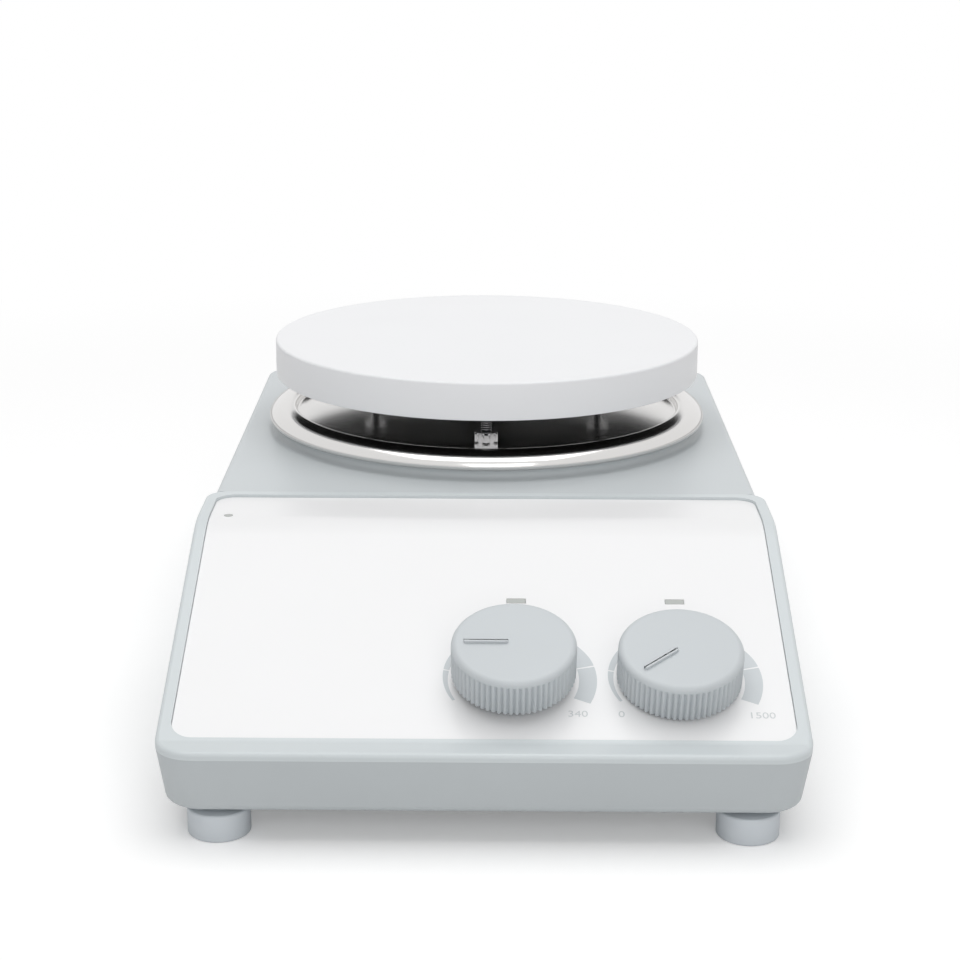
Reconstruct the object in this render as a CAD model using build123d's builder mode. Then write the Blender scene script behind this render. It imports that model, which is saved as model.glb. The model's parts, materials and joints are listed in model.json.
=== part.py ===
from build123d import *
import os
from math import atan2, cos, radians, sin, tan

os.makedirs("parts", exist_ok=True)

# Whole instrument. +X is right, +Y is back, +Z is up, the origin is under the middle.
overall_width = 160.0
overall_depth = 280.0
overall_height = 85.0
half_width = overall_width / 2
front_y = -overall_depth / 2
rear_y = overall_depth / 2

# Feet
foot_diameter = 15.6
foot_height = 7.0
foot_edge = 0.6
foot_neck_diameter = 6.2
foot_neck_height = 1.5
foot_side_inset = 15.0
foot_front_inset = 10.0
foot_rear_inset = 13.0

# Base tray, which widens a little towards its rim
tray_height = 14.1
tray_wall = 2.4
tray_floor = 2.2
tray_setback = 2.0
tray_corner = 10.0
tray_bottom_round = 2.0
tray_rib_height = 5.0
tray_rib_width = 1.6
tray_rib_inset = 4.8

# Front bezel
lip_height = 2.0
lip_depth = 7.0
bend_from_front = 89.5
bezel_length = 117.0
bezel_top_z = 56.0
bend_radius = 30.0
toe_radius = 4.0
bezel_wall = 2.4
bezel_skin = 3.2
bezel_rear_corner = 6.0
bezel_edge_round = 1.2

# White control panel, let into the bezel
panel_sink = 0.8
panel_thickness = 0.8
panel_gap = 0.1
panel_side_margin = 3.4
panel_front_margin = 8.4
panel_rear_margin = 4.2
panel_corner = 5.5

# Rear housing
housing_inset = 1.4
housing_draft = 0.6
deck_step = 0.3
deck_thickness = 3.0
housing_wall = 2.5
housing_corner = 8.0
deck_edge_round = 2.0
tongue_length = 4.0
tongue_root = 3.0
tongue_thickness = 2.2
tongue_gap = 0.3

# Work plate and what lies in it
plate_diameter = 135.0
plate_from_front = 198.0
plate_rim_height = 11.5
plate_top_thickness = 4.0
plate_rim_wall = 2.5
plate_edge_round = 0.8
plate_boss_diameter = 8.0
heater_radius = 53.0
heater_width = 8.0
heater_thickness = 4.5
heater_corner = 1.5
heater_gap_angle = 11.0
terminal_diameter = 3.0
terminal_spacing = 10.8
terminal_length = 2.5
insulation_thickness = 1.2
cover_thickness = 1.0
cover_gap = 0.4
sensor_diameter = 4.0
sensor_length = 11.0
sensor_lead_diameter = 1.6
heater_lead_diameter = 2.2
lead_window_width = 18.0
lead_window_depth = 6.0

# Dish, collar and posts
dish_radius = 70.0
dish_crest_height = 8.0
dish_rim_drop = 4.0
dish_rim_width = 6.8
dish_roll_radius = 2.0
dish_depth = 3.0
dish_thickness = 0.8
collar_radius = 67.5
collar_wall = 2.5
collar_fillet = 2.0
gasket_thickness = 1.0
gasket_inner_radius = 37.0
gasket_outer_radius = 59.0
magnet_well_radius = 33.0
post_diameter = 3.2
post_circle_radius = 43.0
post_count = 3
post_first_angle = -90.0
post_end_gap = 1.0
post_nut_flats = 7.0
post_nut_height = 3.2
cover_nut_height = 2.2
post_boss_diameter = 10.0
post_boss_depth = 5.5
thread_clearance = 0.05
grommet_width = 20.0
grommet_depth = 7.0
grommet_flange = 1.5
grommet_rise = 2.0

# Controls on the sloping panel: x across, s up the slope from the bend
heat_x = 7.3
stir_x = 48.9
control_s = -64.2
knob_diameter = 31.4
knob_height = 10.3
knob_edge = 1.7
knob_wall = 2.6
knob_hollow_depth = 6.2
knob_hub_diameter = 10.0
flute_count = 64
flute_radius = 0.5
flute_outset = 0.12
pointer_width = 1.3
pointer_rise = 0.7
pointer_inner = 1.4
pointer_outer = 12.5
heat_knob_gap = 2.1
stir_knob_gap = 0.6
heat_pointer_angle = 180.0
stir_pointer_angle = 220.0
shaft_diameter = 6.0
shaft_flat = 1.5
shaft_end_gap = 1.2
shaft_flat_start = 0.5
hub_clearance = 1.0
shaft_clearance = 0.05
pot_diameter = 16.5
pot_depth = 7.5
pot_floor = 1.2
bushing_diameter = 7.0
bushing_rise = 4.0
bushing_hole_gap = 0.2
pot_nut_flats = 10.0
pot_nut_height = 2.0
lamp_bar_width = 4.9
lamp_bar_height = 1.8
lamp_bar_s = -33.7
lamp_bar_offset = 0.9
lamp_window_depth = 4.0
lamp_window_gap = 0.1
lamp_window_shoulder = 1.0
power_lamp_diameter = 2.4
power_lamp_x = -71.5
power_lamp_s = 5.4
lamp_diameter = 3.0
power_lamp_length = 6.0

# Control board under the panel
control_board_left = -20.0
control_board_right = 61.0
control_board_low = -80.0
control_board_high = -26.0
board_thickness = 1.6
board_screw_inset = 4.0
board_post_diameter = 6.0
board_post_root = 0.4
board_screw_diameter = 2.4
board_screw_head = 4.6
board_screw_head_height = 1.8
board_screw_grip = 4.0

# Motor, all on the plate's axis
motor_seat_height = 11.8
bracket_thickness = 1.5
stack_height = 18.0
stack_half_width = 30.0
stack_rear = 21.0
stack_front = 42.0
stack_corner = 3.0
core_bar = 10.0
coil_window_depth = 12.0
coil_window_half_width = 19.0
rotor_diameter = 28.0
air_gap = 0.4
shading_notch = 3.0
shading_notch_count = 4
shading_notch_angle = 45.0
bobbin_wall = 1.0
bobbin_gap = 0.1
winding_build = 7.0
bobbin_half_length = 18.4
bracket_width = 14.0
bracket_ear_inner = 19.5
bracket_shelf = 12.0
bracket_rise = 4.0
bearing_diameter = 10.0
bearing_length = 6.0
bearing_boss_diameter = 14.0
motor_shaft_diameter = 5.0
bearing_clearance = 0.05
motor_screw_x = 25.0
motor_screw_diameter = 3.8
motor_screw_head = 7.0
motor_screw_head_height = 2.8
motor_screw_grip = 8.5
motor_boss_diameter = 9.0
shaft_below_bearing = 1.5

# What the motor turns
fan_gap = 0.5
fan_height = 3.5
fan_hub_diameter = 14.0
fan_radius = 22.0
fan_blades = 7
fan_blade_thickness = 1.4
fan_blade_lean = 12.0
holder_hub_height = 1.0
holder_height = 4.1
holder_length = 54.0
holder_width = 14.0
magnet_diameter = 10.0
magnet_thickness = 3.0
magnet_offset = 19.0
magnet_clearance = 0.05

# Power board, on posts in the tray
power_board_left = -56.0
power_board_right = 34.0
power_board_front = 84.0
power_board_back = 130.0
power_board_post_height = 4.3
transformer_width = 30.0
transformer_depth = 24.0
transformer_height = 17.0
transformer_x = -30.0
transformer_y = 98.0
bobbin_margin = 4.0
capacitor_diameter = 10.0
capacitor_height = 16.0
capacitor_x = 20.0
capacitor_y = 98.0
capacitor_pitch = 12.0
capacitor_count = 2
capacitor_edge = 0.6
terminal_block_width = 22.0
terminal_block_depth = 9.0
terminal_block_height = 11.0
heatsink_left = 44.0
heatsink_width = 26.0
heatsink_front = 52.0
heatsink_length = 46.0
heatsink_base = 3.0
heatsink_height = 18.0
fin_thickness = 1.6
fin_count = 5
triac_width = 10.0
triac_depth = 15.0
triac_thickness = 4.5
triac_gap = 5.0

# Mains inlet, fuse drawer, rocker switch and rod socket on the rear wall
fitting_z = 39.0
inlet_x = -40.0
inlet_flange = 3.0
inlet_flange_width = 44.0
inlet_flange_height = 28.4
inlet_flange_corner = 2.0
inlet_body_width = 40.0
inlet_body_height = 25.4
inlet_body_depth = 24.0
inlet_cavity_width = 24.4
inlet_cavity_height = 16.8
inlet_cavity_depth = 19.0
inlet_cavity_x = -6.0
inlet_cavity_chamfer = 4.5
pin_width = 2.0
pin_height = 4.0
pin_spacing = 7.0
pin_rise = 2.0
pin_length = 28.0
pin_setback = 2.0
fuse_slot_x = 13.7
fuse_slot_width = 8.6
fuse_slot_height = 22.4
fuse_slot_depth = 24.5
drawer_gap = 0.1
drawer_pull_width = 3.0
drawer_pull_height = 10.0
drawer_pull_sink = 1.5
drawer_pull_count = 2
fuse_diameter = 5.2
fuse_length = 20.0
fuse_pitch = 6.2
fuse_count = 2
fuse_first = 5.6
fuse_gap = 0.1
fitting_gap = 0.2
rocker_x = 30.0
rocker_flange_width = 15.0
rocker_flange_height = 21.0
rocker_flange = 1.6
rocker_flange_corner = 0.6
rocker_body_width = 13.0
rocker_body_height = 19.0
rocker_body_depth = 14.0
rocker_cavity_width = 11.4
rocker_cavity_height = 17.0
rocker_cavity_depth = 11.0
rocker_width = 11.0
rocker_half_length = 7.8
rocker_tilt = 8.0
rocker_pivot_sink = 4.6
rocker_pin_diameter = 2.0
rocker_pin_clearance = 0.05
rocker_end_height = 4.3
rocker_middle_height = 3.0
rocker_back_depth = 3.0
rocker_back_half = 4.5
socket_x = 60.0
socket_outer_diameter = 16.0
socket_flange_diameter = 20.0
socket_flange = 1.5
socket_length = 16.0
socket_thread_diameter = 8.5
socket_thread_length = 14.0
socket_boss_diameter = 21.0
vent_width = 2.5
vent_height = 18.0
vent_pitch = 5.5
vent_count = 5
vent_x = 2.0
floor_vent_length = 26.0
floor_vent_count = 8
floor_vent_pitch = 6.0
floor_vent_x = 42.0
floor_vent_y = -10.0

# Screws that join the tray, the bezel and the housing, and those of the feet
case_screw_diameter = 2.9
case_screw_head = 5.6
case_screw_head_height = 2.0
case_screw_sink = 2.6
case_screw_bite = 8.0
case_boss_diameter = 8.0
bezel_boss_x = 69.0
bezel_boss_from_front = 40.0
housing_boss_x = 68.0
housing_boss_front_y = -6.0
housing_boss_rear_y = 112.0
foot_screw_bite = 7.0
foot_boss_height = 8.5
foot_screw_sink = 3.0

# Heights and places worked out from the sizes above
tray_bottom_z = foot_height + foot_neck_height
tray_top_z = tray_bottom_z + tray_height
floor_z = tray_bottom_z + tray_floor
lip_z = tray_top_z + lip_height
bend_y = front_y + bend_from_front
slope_foot_y = front_y + lip_depth
panel_angle = atan2(bezel_top_z - lip_z, bend_y - slope_foot_y)
bezel_rear_y = front_y + bezel_length
housing_half = half_width - housing_inset
housing_rear_y = rear_y - inlet_flange
deck_z = bezel_top_z - deck_step
plate_y = front_y + plate_from_front
plate_under_z = overall_height - plate_top_thickness
plate_rim_z = overall_height - plate_rim_height
heater_under_z = plate_under_z - heater_thickness
insulation_under_z = heater_under_z - insulation_thickness
cover_under_z = insulation_under_z - cover_thickness
dish_crest_z = bezel_top_z + dish_crest_height
dish_edge_z = dish_crest_z - dish_rim_drop
dish_floor_z = dish_crest_z - dish_depth
platform_z = dish_floor_z - dish_thickness - gasket_thickness
platform_under_z = platform_z - collar_wall
lead_y = plate_y + heater_radius
foot_x = half_width - foot_side_inset
foot_ys = (front_y + foot_front_inset, rear_y - foot_rear_inset)

# The panel's own frame: x across, y up the slope from the bend, z out of the bezel's surface
panel_frame = Plane(
    origin=(0, bend_y, bezel_top_z),
    x_dir=(1, 0, 0),
    z_dir=(0, -sin(panel_angle), cos(panel_angle)),
)
plate_frame = Plane(origin=(0, plate_y, 0), x_dir=(1, 0, 0), z_dir=(0, 0, 1))
plate_side = Plane(origin=(0, plate_y, 0), x_dir=(1, 0, 0), z_dir=(0, -1, 0))
rear_frame = Plane(origin=(0, housing_rear_y, fitting_z), x_dir=(-1, 0, 0), z_dir=(0, 1, 0))


def panel_at(x, s, height):
    """A plane parallel to the sloping panel, at a height over the bezel's surface."""
    return Plane(
        origin=panel_frame.from_local_coords((x, s, height)),
        x_dir=panel_frame.x_dir,
        z_dir=panel_frame.z_dir,
    )


def panel_side_at(x, s, height):
    """A plane across the panel, whose y axis stands out of the panel."""
    return Plane(
        origin=panel_frame.from_local_coords((x, s, height)),
        x_dir=panel_frame.x_dir,
        z_dir=-panel_frame.y_dir,
    )


def rounded_plan(half, front, rear, front_corner, rear_corner):
    """Plan outline with one corner radius at the front and one at the back."""
    with BuildSketch() as plan:
        with Locations((0, (front + rear) / 2)):
            Rectangle(2 * half, rear - front)
        fillet(plan.vertices().group_by(Axis.Y)[0], front_corner)
        fillet(plan.vertices().group_by(Axis.Y)[-1], rear_corner)
    return plan.sketch


def bezel_block(depth, half, front, rear, bottom, front_corner, rear_corner):
    """Everything under the bezel's top line sunk by depth, inside a rounded plan."""
    shift = depth * tan(panel_angle / 2)
    toe = (slope_foot_y + shift, lip_z - depth)
    bend = (bend_y + shift, bezel_top_z - depth)
    with BuildPart() as block:
        with BuildSketch(Plane.YZ) as outline:
            with BuildLine():
                Polyline(
                    (front_y - lip_depth, bottom),
                    (front_y - lip_depth, toe[1]),
                    toe,
                    bend,
                    (rear + lip_depth, bend[1]),
                    (rear + lip_depth, bottom),
                    close=True,
                )
            make_face()
            fillet(outline.vertices().sort_by_distance(bend)[0], bend_radius - depth)
            fillet(outline.vertices().sort_by_distance(toe)[0], toe_radius + depth)
        extrude(amount=half, both=True)
        with BuildSketch(Plane.XY.offset(bottom)):
            add(rounded_plan(half, front, rear, front_corner, rear_corner))
        extrude(amount=overall_height, mode=Mode.INTERSECT)
    return block.part


def panel_slab(upper, lower, gap):
    """A layer that follows the bezel's top line, inside the white panel's outline."""
    outline = (
        half_width - panel_side_margin - gap,
        front_y + panel_front_margin + gap,
        bezel_rear_y - panel_rear_margin - gap,
    )
    high = bezel_block(upper, *outline, tray_top_z, panel_corner - gap, panel_corner - gap)
    low = bezel_block(
        lower, half_width, front_y, bezel_rear_y, tray_top_z, tray_corner, bezel_rear_corner
    )
    with BuildPart() as slab:
        add(high)
        add(low, mode=Mode.SUBTRACT)
    return slab.part


def tray_loft(inset, bottom, top):
    """The tray's drafted outline, moved in by inset, between two heights."""
    with BuildPart() as shape:
        for height in (bottom, top):
            back_off = tray_setback * (tray_top_z - height) / tray_height
            half = half_width - back_off - inset
            front = front_y + back_off + inset
            rear = housing_rear_y - back_off - inset
            corner = tray_corner - inset
            with BuildSketch(Plane.XY.offset(height)):
                add(rounded_plan(half, front, rear, corner, corner))
        loft(ruled=True)
    return shape.part


def housing_loft(inset, bottom, top, front):
    """The rear housing's drafted outline, moved in by inset, between two heights."""
    with BuildPart() as shape:
        for height in (bottom, top):
            back_off = housing_draft * (height - tray_top_z) / (deck_z - tray_top_z)
            half = housing_half - back_off - inset
            corner = housing_corner - inset
            with BuildSketch(Plane.XY.offset(height)):
                add(rounded_plan(half, front, housing_rear_y - inset, corner, corner))
        loft(ruled=True)
    return shape.part


# Places that several pieces share
case_boss_spots = [
    (side * bezel_boss_x, front_y + bezel_boss_from_front) for side in (-1, 1)
] + [
    (side * housing_boss_x, y) for side in (-1, 1) for y in (housing_boss_front_y, housing_boss_rear_y)
]
foot_spots = [(side * foot_x, y) for y in foot_ys for side in (-1, 1)]
post_spots = [
    (
        post_circle_radius * cos(radians(post_first_angle + turn * 360 / post_count)),
        plate_y + post_circle_radius * sin(radians(post_first_angle + turn * 360 / post_count)),
    )
    for turn in range(post_count)
]
motor_screw_spots = [(-motor_screw_x, plate_y), (motor_screw_x, plate_y)]
power_board_spots = [
    (x, y)
    for x in (power_board_left + board_screw_inset, power_board_right - board_screw_inset)
    for y in (power_board_front + board_screw_inset, power_board_back - board_screw_inset)
]
control_board_spots = [
    (x, s)
    for x in (control_board_left + board_screw_inset, control_board_right - board_screw_inset)
    for s in (control_board_low + board_screw_inset, control_board_high - board_screw_inset)
]
terminal_xs = (-terminal_spacing / 2, terminal_spacing / 2)

# Motor heights
motor_seat_z = floor_z + motor_seat_height
stack_bottom_z = motor_seat_z + bracket_thickness
stack_top_z = stack_bottom_z + stack_height
upper_bearing_z = stack_top_z + bracket_thickness
upper_bearing_top_z = upper_bearing_z + bearing_length
lower_bearing_z = motor_seat_z - bearing_length
fan_z = upper_bearing_top_z + fan_gap
holder_hub_z = fan_z + fan_height
holder_z = holder_hub_z + holder_hub_height
holder_top_z = holder_z + holder_height
coil_y = plate_y - stack_front + core_bar / 2

# Feet: a disc, and a neck that shows as a thin gap under the tray
foot_names = ("foot_front_left", "foot_front_right", "foot_rear_left", "foot_rear_right")
for name, (x, y) in zip(foot_names, foot_spots):
    with BuildPart() as foot:
        with BuildSketch(Plane.XY):
            with Locations((x, y)):
                Circle(foot_diameter / 2)
        extrude(amount=foot_height)
        chamfer(foot.edges().group_by(Axis.Z)[0], foot_edge)
        fillet(foot.edges().group_by(Axis.Z)[-1], foot_edge)
        with BuildSketch(Plane.XY.offset(foot_height)):
            with Locations((x, y)):
                Circle(foot_neck_diameter / 2)
        extrude(amount=foot_neck_height)
        with Locations(Plane(origin=(x, y, 0), x_dir=(1, 0, 0), z_dir=(0, 0, -1))):
            CounterBoreHole(
                radius=case_screw_diameter / 2 + thread_clearance,
                counter_bore_radius=case_screw_head / 2 + thread_clearance,
                counter_bore_depth=foot_screw_sink,
            )
    foot.part.label = name
    export_step(foot.part, f"parts/{name}.step")

with BuildPart() as foot_screws:
    with BuildSketch(Plane.XY.offset(foot_screw_sink - case_screw_head_height)):
        with Locations(*foot_spots):
            Circle(case_screw_head / 2)
    extrude(amount=case_screw_head_height)
    with BuildSketch(Plane.XY.offset(foot_screw_sink)):
        with Locations(*foot_spots):
            Circle(case_screw_diameter / 2)
    extrude(amount=floor_z + foot_screw_bite - foot_screw_sink)
foot_screws.part.label = "foot_screws"
export_step(foot_screws.part, "parts/foot_screws.step")

# Base tray with its bosses, ribs and floor vents
tray_outer = tray_loft(0, tray_bottom_z, tray_top_z)
tray_inner = tray_loft(tray_wall, floor_z, tray_top_z)
with BuildPart() as base_tray:
    add(tray_outer)
    fillet(base_tray.edges().group_by(Axis.Z)[0], tray_bottom_round)
    add(tray_inner, mode=Mode.SUBTRACT)
    with BuildSketch(Plane.XY.offset(floor_z)):
        with Locations((0, housing_boss_front_y), (0, front_y + bezel_boss_from_front)):
            Rectangle(overall_width - 2 * tray_rib_inset, tray_rib_width)
    extrude(amount=tray_rib_height)
    with BuildSketch(Plane.XY.offset(floor_z)):
        with Locations(*case_boss_spots):
            Circle(case_boss_diameter / 2)
    extrude(amount=tray_top_z - floor_z)
    with BuildSketch(Plane.XY.offset(floor_z)):
        with Locations(*foot_spots):
            Circle(case_boss_diameter / 2)
    extrude(amount=foot_boss_height)
    with BuildSketch(Plane.XY.offset(floor_z)):
        with Locations(*motor_screw_spots):
            Circle(motor_boss_diameter / 2)
    extrude(amount=motor_seat_height)
    with BuildSketch(Plane.XY.offset(floor_z)):
        with Locations(*power_board_spots):
            Circle(board_post_diameter / 2)
    extrude(amount=power_board_post_height)
    for x, y in case_boss_spots:
        with Locations(Plane(origin=(x, y, tray_bottom_z), x_dir=(1, 0, 0), z_dir=(0, 0, -1))):
            CounterBoreHole(
                radius=case_screw_diameter / 2 + thread_clearance,
                counter_bore_radius=case_screw_head / 2 + fitting_gap,
                counter_bore_depth=case_screw_sink,
            )
    with BuildSketch(Plane.XY.offset(tray_bottom_z)):
        with Locations(*foot_spots):
            Circle(case_screw_diameter / 2 + thread_clearance)
    extrude(amount=tray_floor + foot_boss_height, mode=Mode.SUBTRACT)
    with BuildSketch(Plane.XY.offset(motor_seat_z)):
        with Locations(*motor_screw_spots):
            Circle(motor_screw_diameter / 2 + thread_clearance)
    extrude(amount=-motor_screw_grip - thread_clearance, mode=Mode.SUBTRACT)
    with BuildSketch(Plane.XY.offset(floor_z + power_board_post_height)):
        with Locations(*power_board_spots):
            Circle(board_screw_diameter / 2 + thread_clearance)
    extrude(amount=-board_screw_grip - thread_clearance, mode=Mode.SUBTRACT)
    with BuildSketch(Plane.XY.offset(tray_bottom_z)):
        for side in (-1, 1):
            with Locations((side * floor_vent_x, plate_y + floor_vent_y)):
                with GridLocations(0, floor_vent_pitch, 1, floor_vent_count):
                    SlotOverall(floor_vent_length, vent_width)
    extrude(amount=tray_floor, mode=Mode.SUBTRACT)
base_tray.part.label = "base_tray"
export_step(base_tray.part, "parts/base_tray.step")

# Rear housing: drafted shell, deck, round collar and the platform under the dish
cut_front = bezel_rear_y - bezel_length / 2
housing_outer = housing_loft(0, tray_top_z, deck_z, cut_front)
housing_inner = housing_loft(housing_wall, tray_top_z, deck_z - deck_thickness, cut_front - housing_wall)
tongue_half = half_width - bezel_wall - tongue_gap
tongue_top_z = bezel_top_z - bezel_skin - tongue_gap
with BuildPart() as rear_housing:
    add(housing_outer)
    fillet(rear_housing.edges().group_by(Axis.Z)[-1], deck_edge_round)
    add(housing_inner, mode=Mode.SUBTRACT)
    with BuildSketch(Plane.XY):
        with Locations((0, cut_front)):
            Rectangle(2 * overall_width, 2 * (bezel_rear_y - cut_front))
    extrude(amount=overall_height, mode=Mode.SUBTRACT)
    with BuildSketch(Plane.XZ.offset(-bezel_rear_y - tongue_root)):
        with BuildLine():
            Polyline(
                (-tongue_half, tray_top_z),
                (-tongue_half, tongue_top_z),
                (tongue_half, tongue_top_z),
                (tongue_half, tray_top_z),
                (tongue_half - tongue_thickness, tray_top_z),
                (tongue_half - tongue_thickness, tongue_top_z - tongue_thickness),
                (tongue_thickness - tongue_half, tongue_top_z - tongue_thickness),
                (tongue_thickness - tongue_half, tray_top_z),
                close=True,
            )
        make_face()
    extrude(amount=tongue_length + tongue_root)
    with BuildSketch(Plane.XY.offset(deck_z)):
        with Locations((0, plate_y)):
            Circle(collar_radius)
    extrude(amount=platform_z - deck_z)
    collar_foot = (
        rear_housing.edges()
        .filter_by(GeomType.CIRCLE)
        .filter_by(lambda e: abs(e.radius - collar_radius) < 0.01 and abs(e.center().Z - deck_z) < 0.01)
    )
    fillet(collar_foot, collar_fillet)
    with BuildSketch(Plane.XY.offset(platform_under_z)):
        with Locations((0, plate_y)):
            Circle(collar_radius - collar_wall)
    extrude(amount=deck_z - deck_thickness - platform_under_z, mode=Mode.SUBTRACT)
    with BuildSketch(Plane.XY.offset(platform_under_z)):
        with Locations(*post_spots):
            Circle(post_boss_diameter / 2)
    extrude(amount=-post_boss_depth)
    with BuildSketch(Plane.XY.offset(platform_z)):
        with Locations(*post_spots):
            Circle(post_diameter / 2 + thread_clearance)
        with Locations((0, plate_y)):
            Circle(magnet_well_radius)
        with Locations((0, lead_y)):
            SlotOverall(grommet_width, grommet_depth)
    extrude(amount=platform_under_z - post_boss_depth - platform_z, mode=Mode.SUBTRACT)
    with BuildSketch(Plane.XY.offset(tray_top_z)):
        with Locations(*case_boss_spots[2:]):
            Circle(case_boss_diameter / 2)
    extrude(amount=deck_z - deck_thickness - tray_top_z)
    with BuildSketch(Plane.XY.offset(tray_top_z)):
        with Locations(*case_boss_spots[2:]):
            Circle(case_screw_diameter / 2 + thread_clearance)
    extrude(amount=case_screw_bite + thread_clearance, mode=Mode.SUBTRACT)
    with BuildSketch(rear_frame):
        with Locations((-socket_x, 0)):
            Circle(socket_boss_diameter / 2)
    extrude(amount=-(socket_length - socket_flange))
    with BuildSketch(rear_frame):
        with Locations((-inlet_x, 0)):
            Rectangle(inlet_body_width + 2 * fitting_gap, inlet_body_height + 2 * fitting_gap)
        with Locations((-rocker_x, 0)):
            Rectangle(rocker_body_width + 2 * fitting_gap, rocker_body_height + 2 * fitting_gap)
        with Locations((-vent_x, 0)):
            with GridLocations(vent_pitch, 0, vent_count, 1):
                SlotOverall(vent_height, vent_width, rotation=90)
    extrude(amount=-housing_wall, mode=Mode.SUBTRACT)
    with BuildSketch(rear_frame):
        with Locations((-socket_x, 0)):
            Circle(socket_outer_diameter / 2)
    extrude(amount=-(socket_length - socket_flange), mode=Mode.SUBTRACT)
rear_housing.part.label = "rear_housing"
export_step(rear_housing.part, "parts/rear_housing.step")

# Front bezel: a sloping hood with a bed for the white panel
bezel_outer = bezel_block(
    0, half_width, front_y, bezel_rear_y, tray_top_z, tray_corner, bezel_rear_corner
)
bezel_inner = bezel_block(
    bezel_skin,
    half_width - bezel_wall,
    front_y + bezel_wall,
    bezel_rear_y + bezel_skin,
    tray_top_z - lip_depth,
    tray_corner - bezel_wall,
    bezel_wall,
)
panel_bed = panel_slab(-panel_sink, panel_sink + panel_thickness, 0)
board_gap_height = bezel_skin + pot_depth
panel_cut = board_gap_height / 2
lamp_cut = 2 * bezel_skin
bezel_boss_spots = case_boss_spots[:2]
with BuildPart() as front_bezel:
    add(bezel_outer)
    rim = front_bezel.edges().filter_by(
        lambda e: e.center().Z > tray_top_z + bezel_edge_round
        and abs(e.tangent_at(0.5).Z) < 0.9
        and not (abs(e.center().X) < 1 and front_y + 1 < e.center().Y)
    )
    fillet(rim, bezel_edge_round)
    add(bezel_inner, mode=Mode.SUBTRACT)
    add(panel_bed, mode=Mode.SUBTRACT)
    with BuildSketch(Plane.XY.offset(tray_top_z)):
        with Locations(*bezel_boss_spots):
            Circle(case_boss_diameter / 2)
    extrude(until=Until.NEXT, dir=(0, 0, 1))
    with BuildSketch(Plane.XY.offset(tray_top_z)):
        with Locations(*bezel_boss_spots):
            Circle(case_screw_diameter / 2 + thread_clearance)
    extrude(amount=case_screw_bite + thread_clearance, mode=Mode.SUBTRACT)
    with BuildSketch(panel_at(0, 0, -board_gap_height)):
        with Locations(*control_board_spots):
            Circle(board_post_diameter / 2)
    extrude(amount=pot_depth + board_post_root)
    with BuildSketch(panel_at(0, 0, -board_gap_height)):
        with Locations(*control_board_spots):
            Circle(board_screw_diameter / 2 + thread_clearance)
    extrude(amount=board_screw_grip + thread_clearance, mode=Mode.SUBTRACT)
    with BuildSketch(panel_at(0, control_s, 0)):
        with Locations((heat_x, 0), (stir_x, 0)):
            Circle(bushing_diameter / 2 + bushing_hole_gap)
    extrude(amount=-panel_cut, mode=Mode.SUBTRACT)
    with BuildSketch(panel_at(lamp_bar_offset, lamp_bar_s, 0)):
        with Locations((heat_x, 0), (stir_x, 0)):
            Rectangle(lamp_bar_width + 2 * lamp_window_gap, lamp_bar_height + 2 * lamp_window_gap)
    extrude(amount=-panel_cut, mode=Mode.SUBTRACT)
    with BuildSketch(Plane.XY.offset(bezel_top_z)):
        with Locations((power_lamp_x, bend_y + power_lamp_s)):
            Circle(power_lamp_diameter / 2 + lamp_window_gap)
    extrude(amount=-lamp_cut, mode=Mode.SUBTRACT)
front_bezel.part.label = "front_bezel"
export_step(front_bezel.part, "parts/front_bezel.step")

# White panel, curved over the bend, with its shaft holes and lamp windows
panel_sheet = panel_slab(panel_sink, panel_sink + panel_thickness, panel_gap)
with BuildPart() as control_panel:
    add(panel_sheet)
    with BuildSketch(panel_at(0, control_s, 0)):
        with Locations((heat_x, 0), (stir_x, 0)):
            Circle(bushing_diameter / 2 + bushing_hole_gap)
    extrude(amount=-panel_cut, mode=Mode.SUBTRACT)
    with BuildSketch(panel_at(lamp_bar_offset, lamp_bar_s, 0)):
        with Locations((heat_x, 0), (stir_x, 0)):
            Rectangle(lamp_bar_width + 2 * lamp_window_gap, lamp_bar_height + 2 * lamp_window_gap)
    extrude(amount=-panel_cut, mode=Mode.SUBTRACT)
    with BuildSketch(Plane.XY.offset(bezel_top_z)):
        with Locations((power_lamp_x, bend_y + power_lamp_s)):
            Circle(power_lamp_diameter / 2 + lamp_window_gap)
    extrude(amount=-lamp_cut, mode=Mode.SUBTRACT)
control_panel.part.label = "control_panel"
export_step(control_panel.part, "parts/control_panel.step")

# Lamp windows: clear bars that carry the light from the board to the panel's face
for name, x in (("heat_lamp_window", heat_x), ("stir_lamp_window", stir_x)):
    with BuildPart() as lamp_window:
        with BuildSketch(panel_at(x + lamp_bar_offset, lamp_bar_s, -panel_sink)):
            Rectangle(lamp_bar_width, lamp_bar_height)
        extrude(amount=-lamp_window_depth)
        with BuildSketch(panel_at(x + lamp_bar_offset, lamp_bar_s, -bezel_skin)):
            Rectangle(
                lamp_bar_width + 2 * lamp_window_shoulder, lamp_bar_height + 2 * lamp_window_shoulder
            )
        extrude(amount=-(lamp_window_depth + panel_sink - bezel_skin))
    lamp_window.part.label = name
    export_step(lamp_window.part, f"parts/{name}.step")

with BuildPart() as power_lamp_window:
    with BuildSketch(Plane.XY.offset(bezel_top_z - panel_sink)):
        with Locations((power_lamp_x, bend_y + power_lamp_s)):
            Circle(power_lamp_diameter / 2)
    extrude(amount=-lamp_window_depth)
power_lamp_window.part.label = "power_lamp_window"
export_step(power_lamp_window.part, "parts/power_lamp_window.step")

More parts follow.
